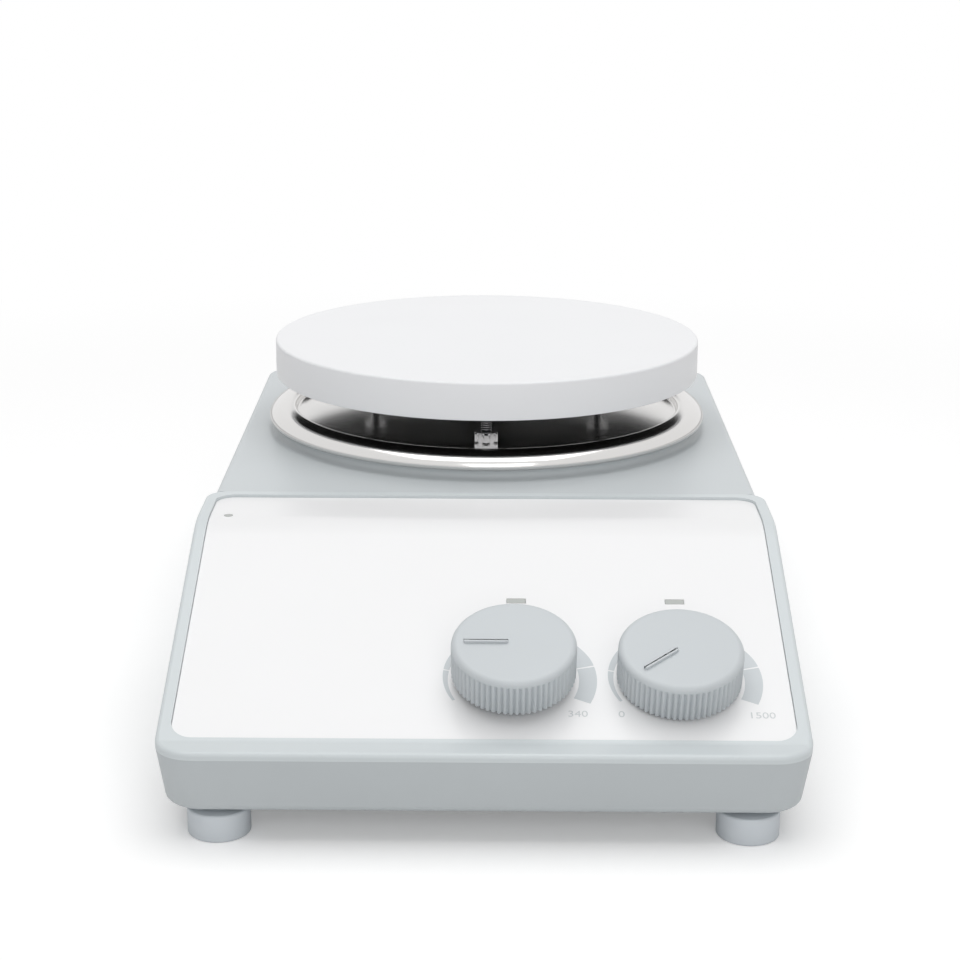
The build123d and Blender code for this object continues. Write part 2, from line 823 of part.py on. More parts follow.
# Control board with its lamps
lamp_base = -board_gap_height
lamp_tip = -(panel_sink + lamp_window_depth)
with BuildPart() as control_board:
    with BuildSketch(panel_at(0, 0, -board_gap_height)):
        with Locations(
            (
                (control_board_left + control_board_right) / 2,
                (control_board_low + control_board_high) / 2,
            )
        ):
            Rectangle(
                control_board_right - control_board_left, control_board_high - control_board_low
            )
        with Locations(*control_board_spots):
            Circle(board_screw_diameter / 2 + thread_clearance, mode=Mode.SUBTRACT)
    extrude(amount=-board_thickness)
control_board.part.label = "control_board"
export_step(control_board.part, "parts/control_board.step")

with BuildPart() as indicator_lamps:
    with BuildSketch(panel_at(lamp_bar_offset, lamp_bar_s, lamp_base)):
        with Locations((heat_x, 0), (stir_x, 0)):
            Circle(lamp_diameter / 2)
    extrude(amount=lamp_tip - lamp_base)
    with BuildSketch(Plane.XY.offset(bezel_top_z - panel_sink - lamp_window_depth)):
        with Locations((power_lamp_x, bend_y + power_lamp_s)):
            Circle(lamp_diameter / 2)
    extrude(amount=-power_lamp_length)
indicator_lamps.part.label = "indicator_lamps"
export_step(indicator_lamps.part, "parts/indicator_lamps.step")

# Potentiometers, held by a nut on the panel's face
nut_seat = -panel_sink
for name, x in (("heat_potentiometer", heat_x), ("stir_potentiometer", stir_x)):
    with BuildPart() as potentiometer:
        with BuildSketch(panel_at(x, control_s, -bezel_skin)):
            Circle(pot_diameter / 2)
        extrude(amount=-pot_depth)
        with BuildSketch(panel_at(x, control_s, -bezel_skin)):
            Circle(bushing_diameter / 2)
        extrude(amount=bezel_skin - panel_sink + bushing_rise)
        with BuildSketch(panel_at(x, control_s, bushing_rise - panel_sink)):
            Circle(shaft_diameter / 2 + shaft_clearance)
        extrude(
            amount=-(bushing_rise - panel_sink + bezel_skin + pot_depth - pot_floor),
            mode=Mode.SUBTRACT,
        )
    potentiometer.part.label = name
    export_step(potentiometer.part, f"parts/{name}.step")

with BuildPart() as potentiometer_nuts:
    with BuildSketch(panel_at(0, control_s, nut_seat)):
        with Locations((heat_x, 0), (stir_x, 0)):
            RegularPolygon(pot_nut_flats / 2, 6, major_radius=False)
            Circle(bushing_diameter / 2 + thread_clearance, mode=Mode.SUBTRACT)
    extrude(amount=pot_nut_height)
potentiometer_nuts.part.label = "potentiometer_nuts"
export_step(potentiometer_nuts.part, "parts/potentiometer_nuts.step")

# Knobs: fluted skirt, rounded top edge, raised pointer, and a hub that grips the shaft's flat
shaft_low = -(bezel_skin + pot_depth - pot_floor - shaft_end_gap)
knob_settings = (
    ("heat", heat_x, heat_knob_gap, heat_pointer_angle),
    ("stir", stir_x, stir_knob_gap, stir_pointer_angle),
)
for name, x, gap, pointer_angle in knob_settings:
    base = gap - panel_sink
    hub_top = base + knob_hollow_depth
    with BuildPart() as knob:
        with BuildSketch(panel_at(x, control_s, base)):
            Circle(knob_diameter / 2)
            with PolarLocations(knob_diameter / 2 + flute_outset, flute_count):
                Circle(flute_radius, mode=Mode.SUBTRACT)
        extrude(amount=knob_height)
        with BuildSketch(panel_side_at(x, control_s, base)):
            with BuildLine():
                Line((0, 0), (knob_diameter / 2, 0))
                Line((knob_diameter / 2, 0), (knob_diameter / 2, knob_height - knob_edge))
                ThreePointArc(
                    (knob_diameter / 2, knob_height - knob_edge),
                    (
                        knob_diameter / 2 - knob_edge * (1 - cos(radians(45))),
                        knob_height - knob_edge * (1 - sin(radians(45))),
                    ),
                    (knob_diameter / 2 - knob_edge, knob_height),
                )
                Line((knob_diameter / 2 - knob_edge, knob_height), (0, knob_height))
                Line((0, knob_height), (0, 0))
            make_face()
        revolve(axis=Axis(panel_at(x, control_s, base).origin, panel_frame.z_dir), mode=Mode.INTERSECT)
        with BuildSketch(panel_at(x, control_s, base)):
            Circle(knob_diameter / 2 - knob_wall)
            Circle(knob_hub_diameter / 2, mode=Mode.SUBTRACT)
        extrude(amount=knob_hollow_depth, mode=Mode.SUBTRACT)
        with BuildSketch(panel_at(x, control_s, base)):
            Circle(knob_hub_diameter / 2)
        extrude(amount=bushing_rise - gap + hub_clearance, mode=Mode.SUBTRACT)
        with BuildSketch(panel_at(x, control_s, base)):
            Circle(shaft_diameter / 2)
            with Locations((shaft_diameter - shaft_flat, 0)):
                Rectangle(shaft_diameter, shaft_diameter, mode=Mode.SUBTRACT)
        extrude(amount=knob_hollow_depth, mode=Mode.SUBTRACT)
        with BuildSketch(panel_at(x, control_s, base + knob_height)):
            with PolarLocations((pointer_inner + pointer_outer) / 2, 1, start_angle=pointer_angle):
                SlotOverall(pointer_outer - pointer_inner, pointer_width)
        extrude(amount=pointer_rise)
    knob.part.label = f"{name}_knob"
    export_step(knob.part, f"parts/{name}_knob.step")

    with BuildPart() as shaft:
        with BuildSketch(panel_at(x, control_s, shaft_low)):
            Circle(shaft_diameter / 2)
        extrude(amount=hub_top - shaft_low)
        with BuildSketch(panel_at(x, control_s, bushing_rise - panel_sink + shaft_flat_start)):
            with Locations((shaft_diameter - shaft_flat, 0)):
                Rectangle(shaft_diameter, shaft_diameter)
        extrude(amount=hub_top, mode=Mode.SUBTRACT)
    shaft.part.label = f"{name}_shaft"
    export_step(shaft.part, f"parts/{name}_shaft.step")

# Dish: one pressed sheet, its rim rolled over the collar, holes for the posts and the leads
roll_x = dish_radius - dish_rim_width
with BuildPart() as drip_dish:
    with BuildSketch(plate_side):
        with BuildLine():
            EllipticalCenterArc((roll_x, dish_edge_z), dish_rim_width, dish_rim_drop)
            RadiusArc(
                (roll_x, dish_crest_z),
                (roll_x - dish_roll_radius, dish_crest_z - dish_roll_radius),
                -dish_roll_radius,
            )
            Line(
                (roll_x - dish_roll_radius, dish_crest_z - dish_roll_radius),
                (roll_x - dish_roll_radius, dish_floor_z),
            )
            Line((roll_x - dish_roll_radius, dish_floor_z), (0, dish_floor_z))
            Line((0, dish_floor_z), (0, dish_floor_z - dish_thickness))
            Line(
                (0, dish_floor_z - dish_thickness),
                (roll_x - dish_roll_radius + dish_thickness, dish_floor_z - dish_thickness),
            )
            Line(
                (roll_x - dish_roll_radius + dish_thickness, dish_floor_z - dish_thickness),
                (roll_x - dish_roll_radius + dish_thickness, dish_crest_z - dish_roll_radius),
            )
            RadiusArc(
                (roll_x - dish_roll_radius + dish_thickness, dish_crest_z - dish_roll_radius),
                (roll_x, dish_crest_z - dish_thickness),
                dish_roll_radius - dish_thickness,
            )
            EllipticalCenterArc(
                (roll_x, dish_edge_z),
                dish_rim_width - dish_thickness,
                dish_rim_drop - dish_thickness,
            )
            Line((dish_radius - dish_thickness, dish_edge_z), (dish_radius, dish_edge_z))
        make_face()
    revolve(axis=Axis((0, plate_y, 0), (0, 0, 1)))
    with BuildSketch(Plane.XY.offset(dish_floor_z)):
        with Locations(*post_spots):
            Circle(post_diameter / 2 + thread_clearance)
        with Locations((0, lead_y)):
            SlotOverall(grommet_width, grommet_depth)
    extrude(amount=-dish_thickness, mode=Mode.SUBTRACT)
drip_dish.part.label = "drip_dish"
export_step(drip_dish.part, "parts/drip_dish.step")

with BuildPart() as dish_gasket:
    with BuildSketch(Plane.XY.offset(platform_z)):
        with Locations((0, plate_y)):
            Circle(gasket_outer_radius)
            Circle(gasket_inner_radius, mode=Mode.SUBTRACT)
        with Locations(*post_spots):
            Circle(post_diameter / 2 + thread_clearance, mode=Mode.SUBTRACT)
        with Locations((0, lead_y)):
            SlotOverall(grommet_width, grommet_depth, mode=Mode.SUBTRACT)
    extrude(amount=gasket_thickness)
dish_gasket.part.label = "dish_gasket"
export_step(dish_gasket.part, "parts/dish_gasket.step")

# Posts from the platform up into the work plate, with nuts on the dish and under the cover
post_low_z = platform_under_z - post_boss_depth + post_end_gap
post_high_z = plate_under_z - post_end_gap
with BuildPart() as plate_posts:
    with BuildSketch(Plane.XY.offset(post_low_z)):
        with Locations(*post_spots):
            Circle(post_diameter / 2)
    extrude(amount=post_high_z - post_low_z)
plate_posts.part.label = "plate_posts"
export_step(plate_posts.part, "parts/plate_posts.step")

with BuildPart() as post_nuts:
    for height, thickness in (
        (dish_floor_z, post_nut_height),
        (cover_under_z - cover_nut_height, cover_nut_height),
    ):
        with BuildSketch(Plane.XY.offset(height)):
            with Locations(*post_spots):
                RegularPolygon(post_nut_flats / 2, 6, major_radius=False)
                Circle(post_diameter / 2 + thread_clearance, mode=Mode.SUBTRACT)
        extrude(amount=thickness)
post_nuts.part.label = "post_nuts"
export_step(post_nuts.part, "parts/post_nuts.step")

# Work plate: a shallow coated cap with bosses for the posts
with BuildPart() as work_plate:
    with BuildSketch(Plane.XY.offset(plate_rim_z)):
        with Locations((0, plate_y)):
            Circle(plate_diameter / 2)
    extrude(amount=plate_rim_height)
    fillet(work_plate.edges().group_by(Axis.Z)[-1], plate_edge_round)
    with BuildSketch(Plane.XY.offset(plate_rim_z)):
        with Locations((0, plate_y)):
            Circle(plate_diameter / 2 - plate_rim_wall)
    extrude(amount=plate_rim_height - plate_top_thickness, mode=Mode.SUBTRACT)
    with BuildSketch(Plane.XY.offset(insulation_under_z)):
        with Locations(*post_spots):
            Circle(plate_boss_diameter / 2)
    extrude(amount=plate_under_z - insulation_under_z)
    with BuildSketch(Plane.XY.offset(insulation_under_z)):
        with Locations(*post_spots):
            Circle(post_diameter / 2 + thread_clearance)
    extrude(amount=post_high_z - insulation_under_z + thread_clearance, mode=Mode.SUBTRACT)
work_plate.part.label = "work_plate"
export_step(work_plate.part, "parts/work_plate.step")

# Ring heater, open at the back where its two terminals turn down
heater_frame = Plane(
    origin=(0, plate_y, 0),
    x_dir=(sin(radians(-heater_gap_angle / 2)), cos(radians(heater_gap_angle / 2)), 0),
    z_dir=(cos(radians(heater_gap_angle / 2)), sin(radians(heater_gap_angle / 2)), 0),
)
with BuildPart() as heating_element:
    with BuildSketch(heater_frame):
        with Locations((heater_radius, plate_under_z - heater_thickness / 2)):
            RectangleRounded(heater_width, heater_thickness, heater_corner)
    revolve(
        axis=Axis((0, plate_y, 0), (0, 0, 1)),
        revolution_arc=360 - heater_gap_angle,
    )
    with BuildSketch(Plane.XY.offset(heater_under_z + heater_thickness / 2)):
        with Locations(*[(x, lead_y) for x in terminal_xs]):
            Circle(terminal_diameter / 2)
    extrude(amount=-(heater_thickness / 2 + terminal_length))
heating_element.part.label = "heating_element"
export_step(heating_element.part, "parts/heating_element.step")

cover_radius = plate_diameter / 2 - plate_rim_wall - cover_gap
with BuildPart() as insulation_disc:
    with BuildSketch(Plane.XY.offset(insulation_under_z)):
        with Locations((0, plate_y)):
            Circle(cover_radius)
        with Locations(*post_spots):
            Circle(plate_boss_diameter / 2 + fitting_gap, mode=Mode.SUBTRACT)
        with Locations((0, lead_y)):
            SlotOverall(lead_window_width, lead_window_depth, mode=Mode.SUBTRACT)
    extrude(amount=insulation_thickness)
insulation_disc.part.label = "insulation_disc"
export_step(insulation_disc.part, "parts/insulation_disc.step")

with BuildPart() as plate_back_cover:
    with BuildSketch(Plane.XY.offset(cover_under_z)):
        with Locations((0, plate_y)):
            Circle(cover_radius)
        with Locations(*post_spots):
            Circle(post_diameter / 2 + thread_clearance, mode=Mode.SUBTRACT)
        with Locations((0, lead_y)):
            SlotOverall(lead_window_width, lead_window_depth, mode=Mode.SUBTRACT)
    extrude(amount=cover_thickness)
plate_back_cover.part.label = "plate_back_cover"
export_step(plate_back_cover.part, "parts/plate_back_cover.step")

# Sensor and leads run straight down through one grommet to the terminal block
board_z = floor_z + power_board_post_height + board_thickness
block_top_z = board_z + terminal_block_height
with BuildPart() as temperature_sensor:
    with BuildSketch(Plane.XY.offset(plate_under_z - sensor_length)):
        with Locations((0, lead_y)):
            Circle(sensor_diameter / 2)
    extrude(amount=sensor_length)
    with BuildSketch(Plane.XY.offset(block_top_z)):
        with Locations((0, lead_y)):
            Circle(sensor_lead_diameter / 2)
    extrude(amount=plate_under_z - sensor_length - block_top_z)
temperature_sensor.part.label = "temperature_sensor"
export_step(temperature_sensor.part, "parts/temperature_sensor.step")

lead_top_z = heater_under_z - terminal_length
with BuildPart() as heater_leads:
    with BuildSketch(Plane.XY.offset(block_top_z)):
        with Locations(*[(x, lead_y) for x in terminal_xs]):
            Circle(heater_lead_diameter / 2)
    extrude(amount=lead_top_z - block_top_z)
heater_leads.part.label = "heater_leads"
export_step(heater_leads.part, "parts/heater_leads.step")

with BuildPart() as lead_grommet:
    with BuildSketch(Plane.XY.offset(platform_under_z - grommet_rise)):
        with Locations((0, lead_y)):
            SlotOverall(grommet_width - 2 * thread_clearance, grommet_depth - 2 * thread_clearance)
    extrude(amount=dish_floor_z - platform_under_z + 2 * grommet_rise)
    with BuildSketch(Plane.XY.offset(dish_floor_z)):
        with Locations((0, lead_y)):
            SlotOverall(grommet_width + 2 * grommet_flange, grommet_depth + 2 * grommet_flange)
    extrude(amount=grommet_flange)
    with BuildSketch(Plane.XY.offset(platform_under_z - grommet_rise)):
        with Locations(*[(x, lead_y) for x in terminal_xs]):
            Circle(heater_lead_diameter / 2 + fitting_gap)
        with Locations((0, lead_y)):
            Circle(sensor_lead_diameter / 2 + fitting_gap)
    extrude(amount=overall_height, mode=Mode.SUBTRACT)
lead_grommet.part.label = "lead_grommet"
export_step(lead_grommet.part, "parts/lead_grommet.step")

# Shaded-pole motor: one stamped stack that holds the rotor's bore and the coil's core bar
with BuildPart() as motor_stator:
    with BuildSketch(Plane.XY.offset(stack_bottom_z)) as stack:
        with Locations((0, plate_y + (stack_rear - stack_front) / 2)):
            Rectangle(2 * stack_half_width, stack_rear + stack_front)
        fillet(stack.vertices(), stack_corner)
        with Locations((0, plate_y)):
            Circle(rotor_diameter / 2 + air_gap, mode=Mode.SUBTRACT)
            with PolarLocations(
                rotor_diameter / 2 + shading_notch / 2, shading_notch_count, start_angle=shading_notch_angle
            ):
                Rectangle(shading_notch, shading_notch / 2, mode=Mode.SUBTRACT)
        with Locations((0, plate_y - stack_front + core_bar + coil_window_depth / 2)):
            Rectangle(2 * coil_window_half_width, coil_window_depth, mode=Mode.SUBTRACT)
        with Locations(*motor_screw_spots):
            Circle(motor_screw_diameter / 2 + thread_clearance, mode=Mode.SUBTRACT)
    extrude(amount=stack_height)
motor_stator.part.label = "motor_stator"
export_step(motor_stator.part, "parts/motor_stator.step")

coil_frame = Plane(
    origin=(0, coil_y, stack_bottom_z + stack_height / 2), x_dir=(0, 1, 0), z_dir=(1, 0, 0)
)
bobbin_inner_width = core_bar + 2 * bobbin_gap
bobbin_inner_height = stack_height + 2 * bobbin_gap
bobbin_outer_width = bobbin_inner_width + 2 * bobbin_wall
bobbin_outer_height = bobbin_inner_height + 2 * bobbin_wall
coil_half_length = bobbin_half_length - bobbin_wall
with BuildPart() as coil_bobbin:
    with BuildSketch(coil_frame):
        Rectangle(bobbin_outer_width, bobbin_outer_height)
    extrude(amount=bobbin_half_length, both=True)
    for side in (-1, 1):
        with BuildSketch(coil_frame.offset(side * coil_half_length)):
            Rectangle(
                bobbin_outer_width + 2 * winding_build - 2 * bobbin_wall,
                bobbin_outer_height + 2 * winding_build - 2 * bobbin_wall,
            )
        extrude(amount=side * bobbin_wall)
    with BuildSketch(coil_frame):
        Rectangle(bobbin_inner_width, bobbin_inner_height)
    extrude(amount=bobbin_half_length, both=True, mode=Mode.SUBTRACT)
coil_bobbin.part.label = "coil_bobbin"
export_step(coil_bobbin.part, "parts/coil_bobbin.step")

with BuildPart() as coil_winding:
    with BuildSketch(coil_frame):
        RectangleRounded(
            bobbin_outer_width + 2 * winding_build - 4 * bobbin_wall,
            bobbin_outer_height + 2 * winding_build - 4 * bobbin_wall,
            winding_build / 2,
        )
        Rectangle(bobbin_outer_width, bobbin_outer_height, mode=Mode.SUBTRACT)
    extrude(amount=coil_half_length, both=True)
coil_winding.part.label = "coil_winding"
export_step(coil_winding.part, "parts/coil_winding.step")

# Two stamped bridges carry the bearings, one above the stack and one below
bracket_settings = (
    ("motor_upper_bracket", stack_top_z, 1),
    ("motor_lower_bracket", stack_bottom_z, -1),
)
for name, ear_z, up in bracket_settings:
    shelf_z = ear_z + up * bracket_rise
    with BuildPart() as bracket:
        with BuildSketch(plate_side):
            with BuildLine():
                Polyline(
                    (-stack_half_width, ear_z),
                    (-bracket_ear_inner, ear_z),
                    (-bracket_shelf, shelf_z),
                    (bracket_shelf, shelf_z),
                    (bracket_ear_inner, ear_z),
                    (stack_half_width, ear_z),
                    (stack_half_width, ear_z + up * bracket_thickness),
                    (bracket_ear_inner, ear_z + up * bracket_thickness),
                    (bracket_shelf, shelf_z + up * bracket_thickness),
                    (-bracket_shelf, shelf_z + up * bracket_thickness),
                    (-bracket_ear_inner, ear_z + up * bracket_thickness),
                    (-stack_half_width, ear_z + up * bracket_thickness),
                    close=True,
                )
            make_face()
        extrude(amount=bracket_width / 2, both=True)
        with BuildSketch(plate_frame.offset(ear_z + up * bracket_thickness)):
            Circle(bearing_boss_diameter / 2)
        extrude(amount=up * bearing_length)
        with BuildSketch(plate_frame.offset(ear_z)):
            Circle(bearing_diameter / 2)
        extrude(amount=up * (bracket_thickness + bearing_length), mode=Mode.SUBTRACT)
        with BuildSketch(Plane.XY.offset(ear_z)):
            with Locations(*motor_screw_spots):
                Circle(motor_screw_diameter / 2 + thread_clearance)
        extrude(amount=up * bracket_thickness, mode=Mode.SUBTRACT)
    bracket.part.label = name
    export_step(bracket.part, f"parts/{name}.step")

with BuildPart() as motor_bearings:
    for height in (upper_bearing_z, lower_bearing_z):
        with BuildSketch(plate_frame.offset(height)):
            Circle(bearing_diameter / 2)
            Circle(motor_shaft_diameter / 2 + bearing_clearance, mode=Mode.SUBTRACT)
        extrude(amount=bearing_length)
motor_bearings.part.label = "motor_bearings"
export_step(motor_bearings.part, "parts/motor_bearings.step")

with BuildPart() as motor_screws:
    with BuildSketch(Plane.XY.offset(stack_top_z + bracket_thickness)):
        with Locations(*motor_screw_spots):
            Circle(motor_screw_head / 2)
    extrude(amount=motor_screw_head_height)
    with BuildSketch(Plane.XY.offset(stack_top_z + bracket_thickness)):
        with Locations(*motor_screw_spots):
            Circle(motor_screw_diameter / 2)
    extrude(amount=motor_seat_z - motor_screw_grip - stack_top_z - bracket_thickness)
motor_screws.part.label = "motor_screws"
export_step(motor_screws.part, "parts/motor_screws.step")

# Rotor, shaft, fan, magnet holder and magnets turn together
with BuildPart() as motor_rotor:
    with BuildSketch(plate_frame.offset(stack_bottom_z)):
        Circle(rotor_diameter / 2)
        Circle(motor_shaft_diameter / 2, mode=Mode.SUBTRACT)
    extrude(amount=stack_height)
motor_rotor.part.label = "motor_rotor"
export_step(motor_rotor.part, "parts/motor_rotor.step")

shaft_bottom_z = lower_bearing_z - shaft_below_bearing
with BuildPart() as motor_shaft:
    with BuildSketch(plate_frame.offset(shaft_bottom_z)):
        Circle(motor_shaft_diameter / 2)
    extrude(amount=holder_top_z - holder_hub_height - shaft_bottom_z)
motor_shaft.part.label = "motor_shaft"
export_step(motor_shaft.part, "parts/motor_shaft.step")

with BuildPart() as cooling_fan:
    with BuildSketch(plate_frame.offset(fan_z)):
        Circle(fan_hub_diameter / 2)
        with PolarLocations(0, fan_blades):
            with Locations((fan_radius / 2, fan_hub_diameter / 4)):
                Rectangle(fan_radius, fan_blade_thickness, rotation=fan_blade_lean)
        Circle(motor_shaft_diameter / 2, mode=Mode.SUBTRACT)
    extrude(amount=fan_height)
cooling_fan.part.label = "cooling_fan"
export_step(cooling_fan.part, "parts/cooling_fan.step")

with BuildPart() as magnet_holder:
    with BuildSketch(plate_frame.offset(holder_hub_z)):
        Circle(fan_hub_diameter / 2)
    extrude(amount=holder_hub_height)
    with BuildSketch(plate_frame.offset(holder_z)):
        SlotOverall(holder_length, holder_width)
    extrude(amount=holder_height)
    with BuildSketch(plate_frame.offset(holder_hub_z)):
        Circle(motor_shaft_diameter / 2)
    extrude(amount=holder_top_z - holder_hub_height - holder_hub_z, mode=Mode.SUBTRACT)
    with BuildSketch(plate_frame.offset(holder_top_z)):
        with Locations((-magnet_offset, 0), (magnet_offset, 0)):
            Circle(magnet_diameter / 2 + magnet_clearance)
    extrude(amount=-magnet_thickness, mode=Mode.SUBTRACT)
magnet_holder.part.label = "magnet_holder"
export_step(magnet_holder.part, "parts/magnet_holder.step")

with BuildPart() as stir_magnets:
    with BuildSketch(plate_frame.offset(holder_top_z)):
        with Locations((-magnet_offset, 0), (magnet_offset, 0)):
            Circle(magnet_diameter / 2)
    extrude(amount=-magnet_thickness)
stir_magnets.part.label = "stir_magnets"
export_step(stir_magnets.part, "parts/stir_magnets.step")

# Power board and what stands on it
with BuildPart() as power_board:
    with BuildSketch(Plane.XY.offset(board_z)):
        with Locations(
            (
                (power_board_left + power_board_right) / 2,
                (power_board_front + power_board_back) / 2,
            )
        ):
            Rectangle(power_board_right - power_board_left, power_board_back - power_board_front)
        with Locations(*power_board_spots):
            Circle(board_screw_diameter / 2 + thread_clearance, mode=Mode.SUBTRACT)
    extrude(amount=-board_thickness)
power_board.part.label = "power_board"
export_step(power_board.part, "parts/power_board.step")

with BuildPart() as supply_transformer:
    with BuildSketch(Plane.XY.offset(board_z)):
        with Locations((transformer_x, transformer_y)):
            Rectangle(transformer_width, transformer_depth)
    extrude(amount=transformer_height)
    with BuildSketch(Plane.XY.offset(board_z + bobbin_margin)):
        with Locations((transformer_x, transformer_y)):
            Rectangle(transformer_width - 2 * bobbin_margin, transformer_depth + bobbin_margin)
    extrude(amount=transformer_height - 2 * bobbin_margin)
supply_transformer.part.label = "supply_transformer"
export_step(supply_transformer.part, "parts/supply_transformer.step")

with BuildPart() as smoothing_capacitors:
    with BuildSketch(Plane.XY.offset(board_z)):
        with Locations((capacitor_x, capacitor_y)):
            with GridLocations(0, capacitor_pitch, 1, capacitor_count):
                Circle(capacitor_diameter / 2)
    extrude(amount=capacitor_height)
    chamfer(smoothing_capacitors.edges().group_by(Axis.Z)[-1], capacitor_edge)
smoothing_capacitors.part.label = "smoothing_capacitors"
export_step(smoothing_capacitors.part, "parts/smoothing_capacitors.step")

with BuildPart() as terminal_block:
    with BuildSketch(Plane.XY.offset(board_z)):
        with Locations((0, lead_y)):
            Rectangle(terminal_block_width, terminal_block_depth)
    extrude(amount=terminal_block_height)
terminal_block.part.label = "terminal_block"
export_step(terminal_block.part, "parts/terminal_block.step")

# One set of screws for both boards
control_screw_seat = -(board_gap_height + board_thickness)
with BuildPart() as board_screws:
    with BuildSketch(Plane.XY.offset(board_z)):
        with Locations(*power_board_spots):
            Circle(board_screw_head / 2)
    extrude(amount=board_screw_head_height)
    with BuildSketch(Plane.XY.offset(board_z)):
        with Locations(*power_board_spots):
            Circle(board_screw_diameter / 2)
    extrude(amount=-(board_thickness + board_screw_grip))
    with BuildSketch(panel_at(0, 0, control_screw_seat)):
        with Locations(*control_board_spots):
            Circle(board_screw_head / 2)
    extrude(amount=-board_screw_head_height)
    with BuildSketch(panel_at(0, 0, control_screw_seat)):
        with Locations(*control_board_spots):
            Circle(board_screw_diameter / 2)
    extrude(amount=board_thickness + board_screw_grip)
board_screws.part.label = "board_screws"
export_step(board_screws.part, "parts/board_screws.step")

# Finned heat sink on the tray's floor, with the triac on its base
fin_pitch = (heatsink_width - fin_thickness) / (fin_count - 1)
fin_length = heatsink_length - triac_depth - triac_gap
with BuildPart() as triac_heatsink:
    with BuildSketch(Plane.XY.offset(floor_z)):
        with Locations((heatsink_left + heatsink_width / 2, heatsink_front + heatsink_length / 2)):
            Rectangle(heatsink_width, heatsink_length)
    extrude(amount=heatsink_base)
    with BuildSketch(Plane.XY.offset(floor_z + heatsink_base)):
        with Locations((heatsink_left + heatsink_width / 2, heatsink_front + fin_length / 2)):
            with GridLocations(fin_pitch, 0, fin_count, 1):
                Rectangle(fin_thickness, fin_length)
    extrude(amount=heatsink_height - heatsink_base)
triac_heatsink.part.label = "triac_heatsink"
export_step(triac_heatsink.part, "parts/triac_heatsink.step")

with BuildPart() as triac:
    with BuildSketch(Plane.XY.offset(floor_z + heatsink_base)):
        with Locations(
            (heatsink_left + heatsink_width / 2, heatsink_front + heatsink_length - triac_depth / 2)
        ):
            Rectangle(triac_width, triac_depth)
    extrude(amount=triac_thickness)
triac.part.label = "triac"
export_step(triac.part, "parts/triac.step")

# Mains inlet: flange, body, the plug's cavity and the fuse drawer's slot
with BuildPart() as power_inlet:
    with BuildSketch(rear_frame):
        with Locations((-inlet_x, 0)):
            RectangleRounded(inlet_flange_width, inlet_flange_height, inlet_flange_corner)
    extrude(amount=inlet_flange)
    with BuildSketch(rear_frame):
        with Locations((-inlet_x, 0)):
            Rectangle(inlet_body_width, inlet_body_height)
    extrude(amount=-inlet_body_depth)
    with BuildSketch(rear_frame.offset(inlet_flange)) as cavity:
        with Locations((-inlet_x - inlet_cavity_x, 0)):
            Rectangle(inlet_cavity_width, inlet_cavity_height)
        chamfer(cavity.vertices().group_by(Axis.Y)[-1], inlet_cavity_chamfer)
    extrude(amount=-inlet_cavity_depth, mode=Mode.SUBTRACT)
    with BuildSketch(rear_frame.offset(inlet_flange)):
        with Locations((-inlet_x - fuse_slot_x, 0)):
            Rectangle(fuse_slot_width, fuse_slot_height)
    extrude(amount=-fuse_slot_depth, mode=Mode.SUBTRACT)
    with BuildSketch(rear_frame):
        with Locations((-inlet_x - inlet_cavity_x, 0)):
            with Locations((-pin_spacing, -pin_rise), (pin_spacing, -pin_rise), (0, pin_rise)):
                Rectangle(pin_width, pin_height)
    extrude(amount=-inlet_body_depth, mode=Mode.SUBTRACT)
power_inlet.part.label = "power_inlet"
export_step(power_inlet.part, "parts/power_inlet.step")

with BuildPart() as inlet_pins:
    with BuildSketch(rear_frame.offset(inlet_flange - pin_setback)):
        with Locations((-inlet_x - inlet_cavity_x, 0)):
            with Locations((-pin_spacing, -pin_rise), (pin_spacing, -pin_rise), (0, pin_rise)):
                Rectangle(pin_width, pin_height)
    extrude(amount=-pin_length)
inlet_pins.part.label = "inlet_pins"
export_step(inlet_pins.part, "parts/inlet_pins.step")

# Fuse drawer with two glass fuses standing in it, open on one side
drawer_depth = fuse_slot_depth - 2 * drawer_gap
fuse_spots = [(-(inlet_flange + fuse_first + turn * fuse_pitch)) for turn in range(fuse_count)]
with BuildPart() as fuse_drawer:
    with BuildSketch(rear_frame.offset(inlet_flange)):
        with Locations((-inlet_x - fuse_slot_x, 0)):
            Rectangle(fuse_slot_width - 2 * drawer_gap, fuse_slot_height - 2 * drawer_gap)
    extrude(amount=-drawer_depth)
    with BuildSketch(rear_frame.offset(inlet_flange)):
        with Locations((-inlet_x - fuse_slot_x, 0)):
            with GridLocations(0, drawer_pull_height + drawer_pull_width, 1, drawer_pull_count):
                Rectangle(fuse_slot_width / 2, drawer_pull_width)
    extrude(amount=-drawer_pull_sink, mode=Mode.SUBTRACT)
    with BuildSketch(Plane.XY.offset(fitting_z - fuse_length / 2 - fuse_gap)):
        for depth in fuse_spots:
            with Locations((inlet_x + fuse_slot_x, rear_y + depth)):
                Circle(fuse_diameter / 2 + fuse_gap)
                with Locations((-fuse_slot_width / 2, 0)):
                    Rectangle(fuse_slot_width, fuse_diameter + 2 * fuse_gap)
    extrude(amount=fuse_length + 2 * fuse_gap, mode=Mode.SUBTRACT)
fuse_drawer.part.label = "fuse_drawer"
export_step(fuse_drawer.part, "parts/fuse_drawer.step")

with BuildPart() as fuses:
    with BuildSketch(Plane.XY.offset(fitting_z - fuse_length / 2)):
        for depth in fuse_spots:
            with Locations((inlet_x + fuse_slot_x, rear_y + depth)):
                Circle(fuse_diameter / 2)
    extrude(amount=fuse_length)
fuses.part.label = "fuses"
export_step(fuses.part, "parts/fuses.step")

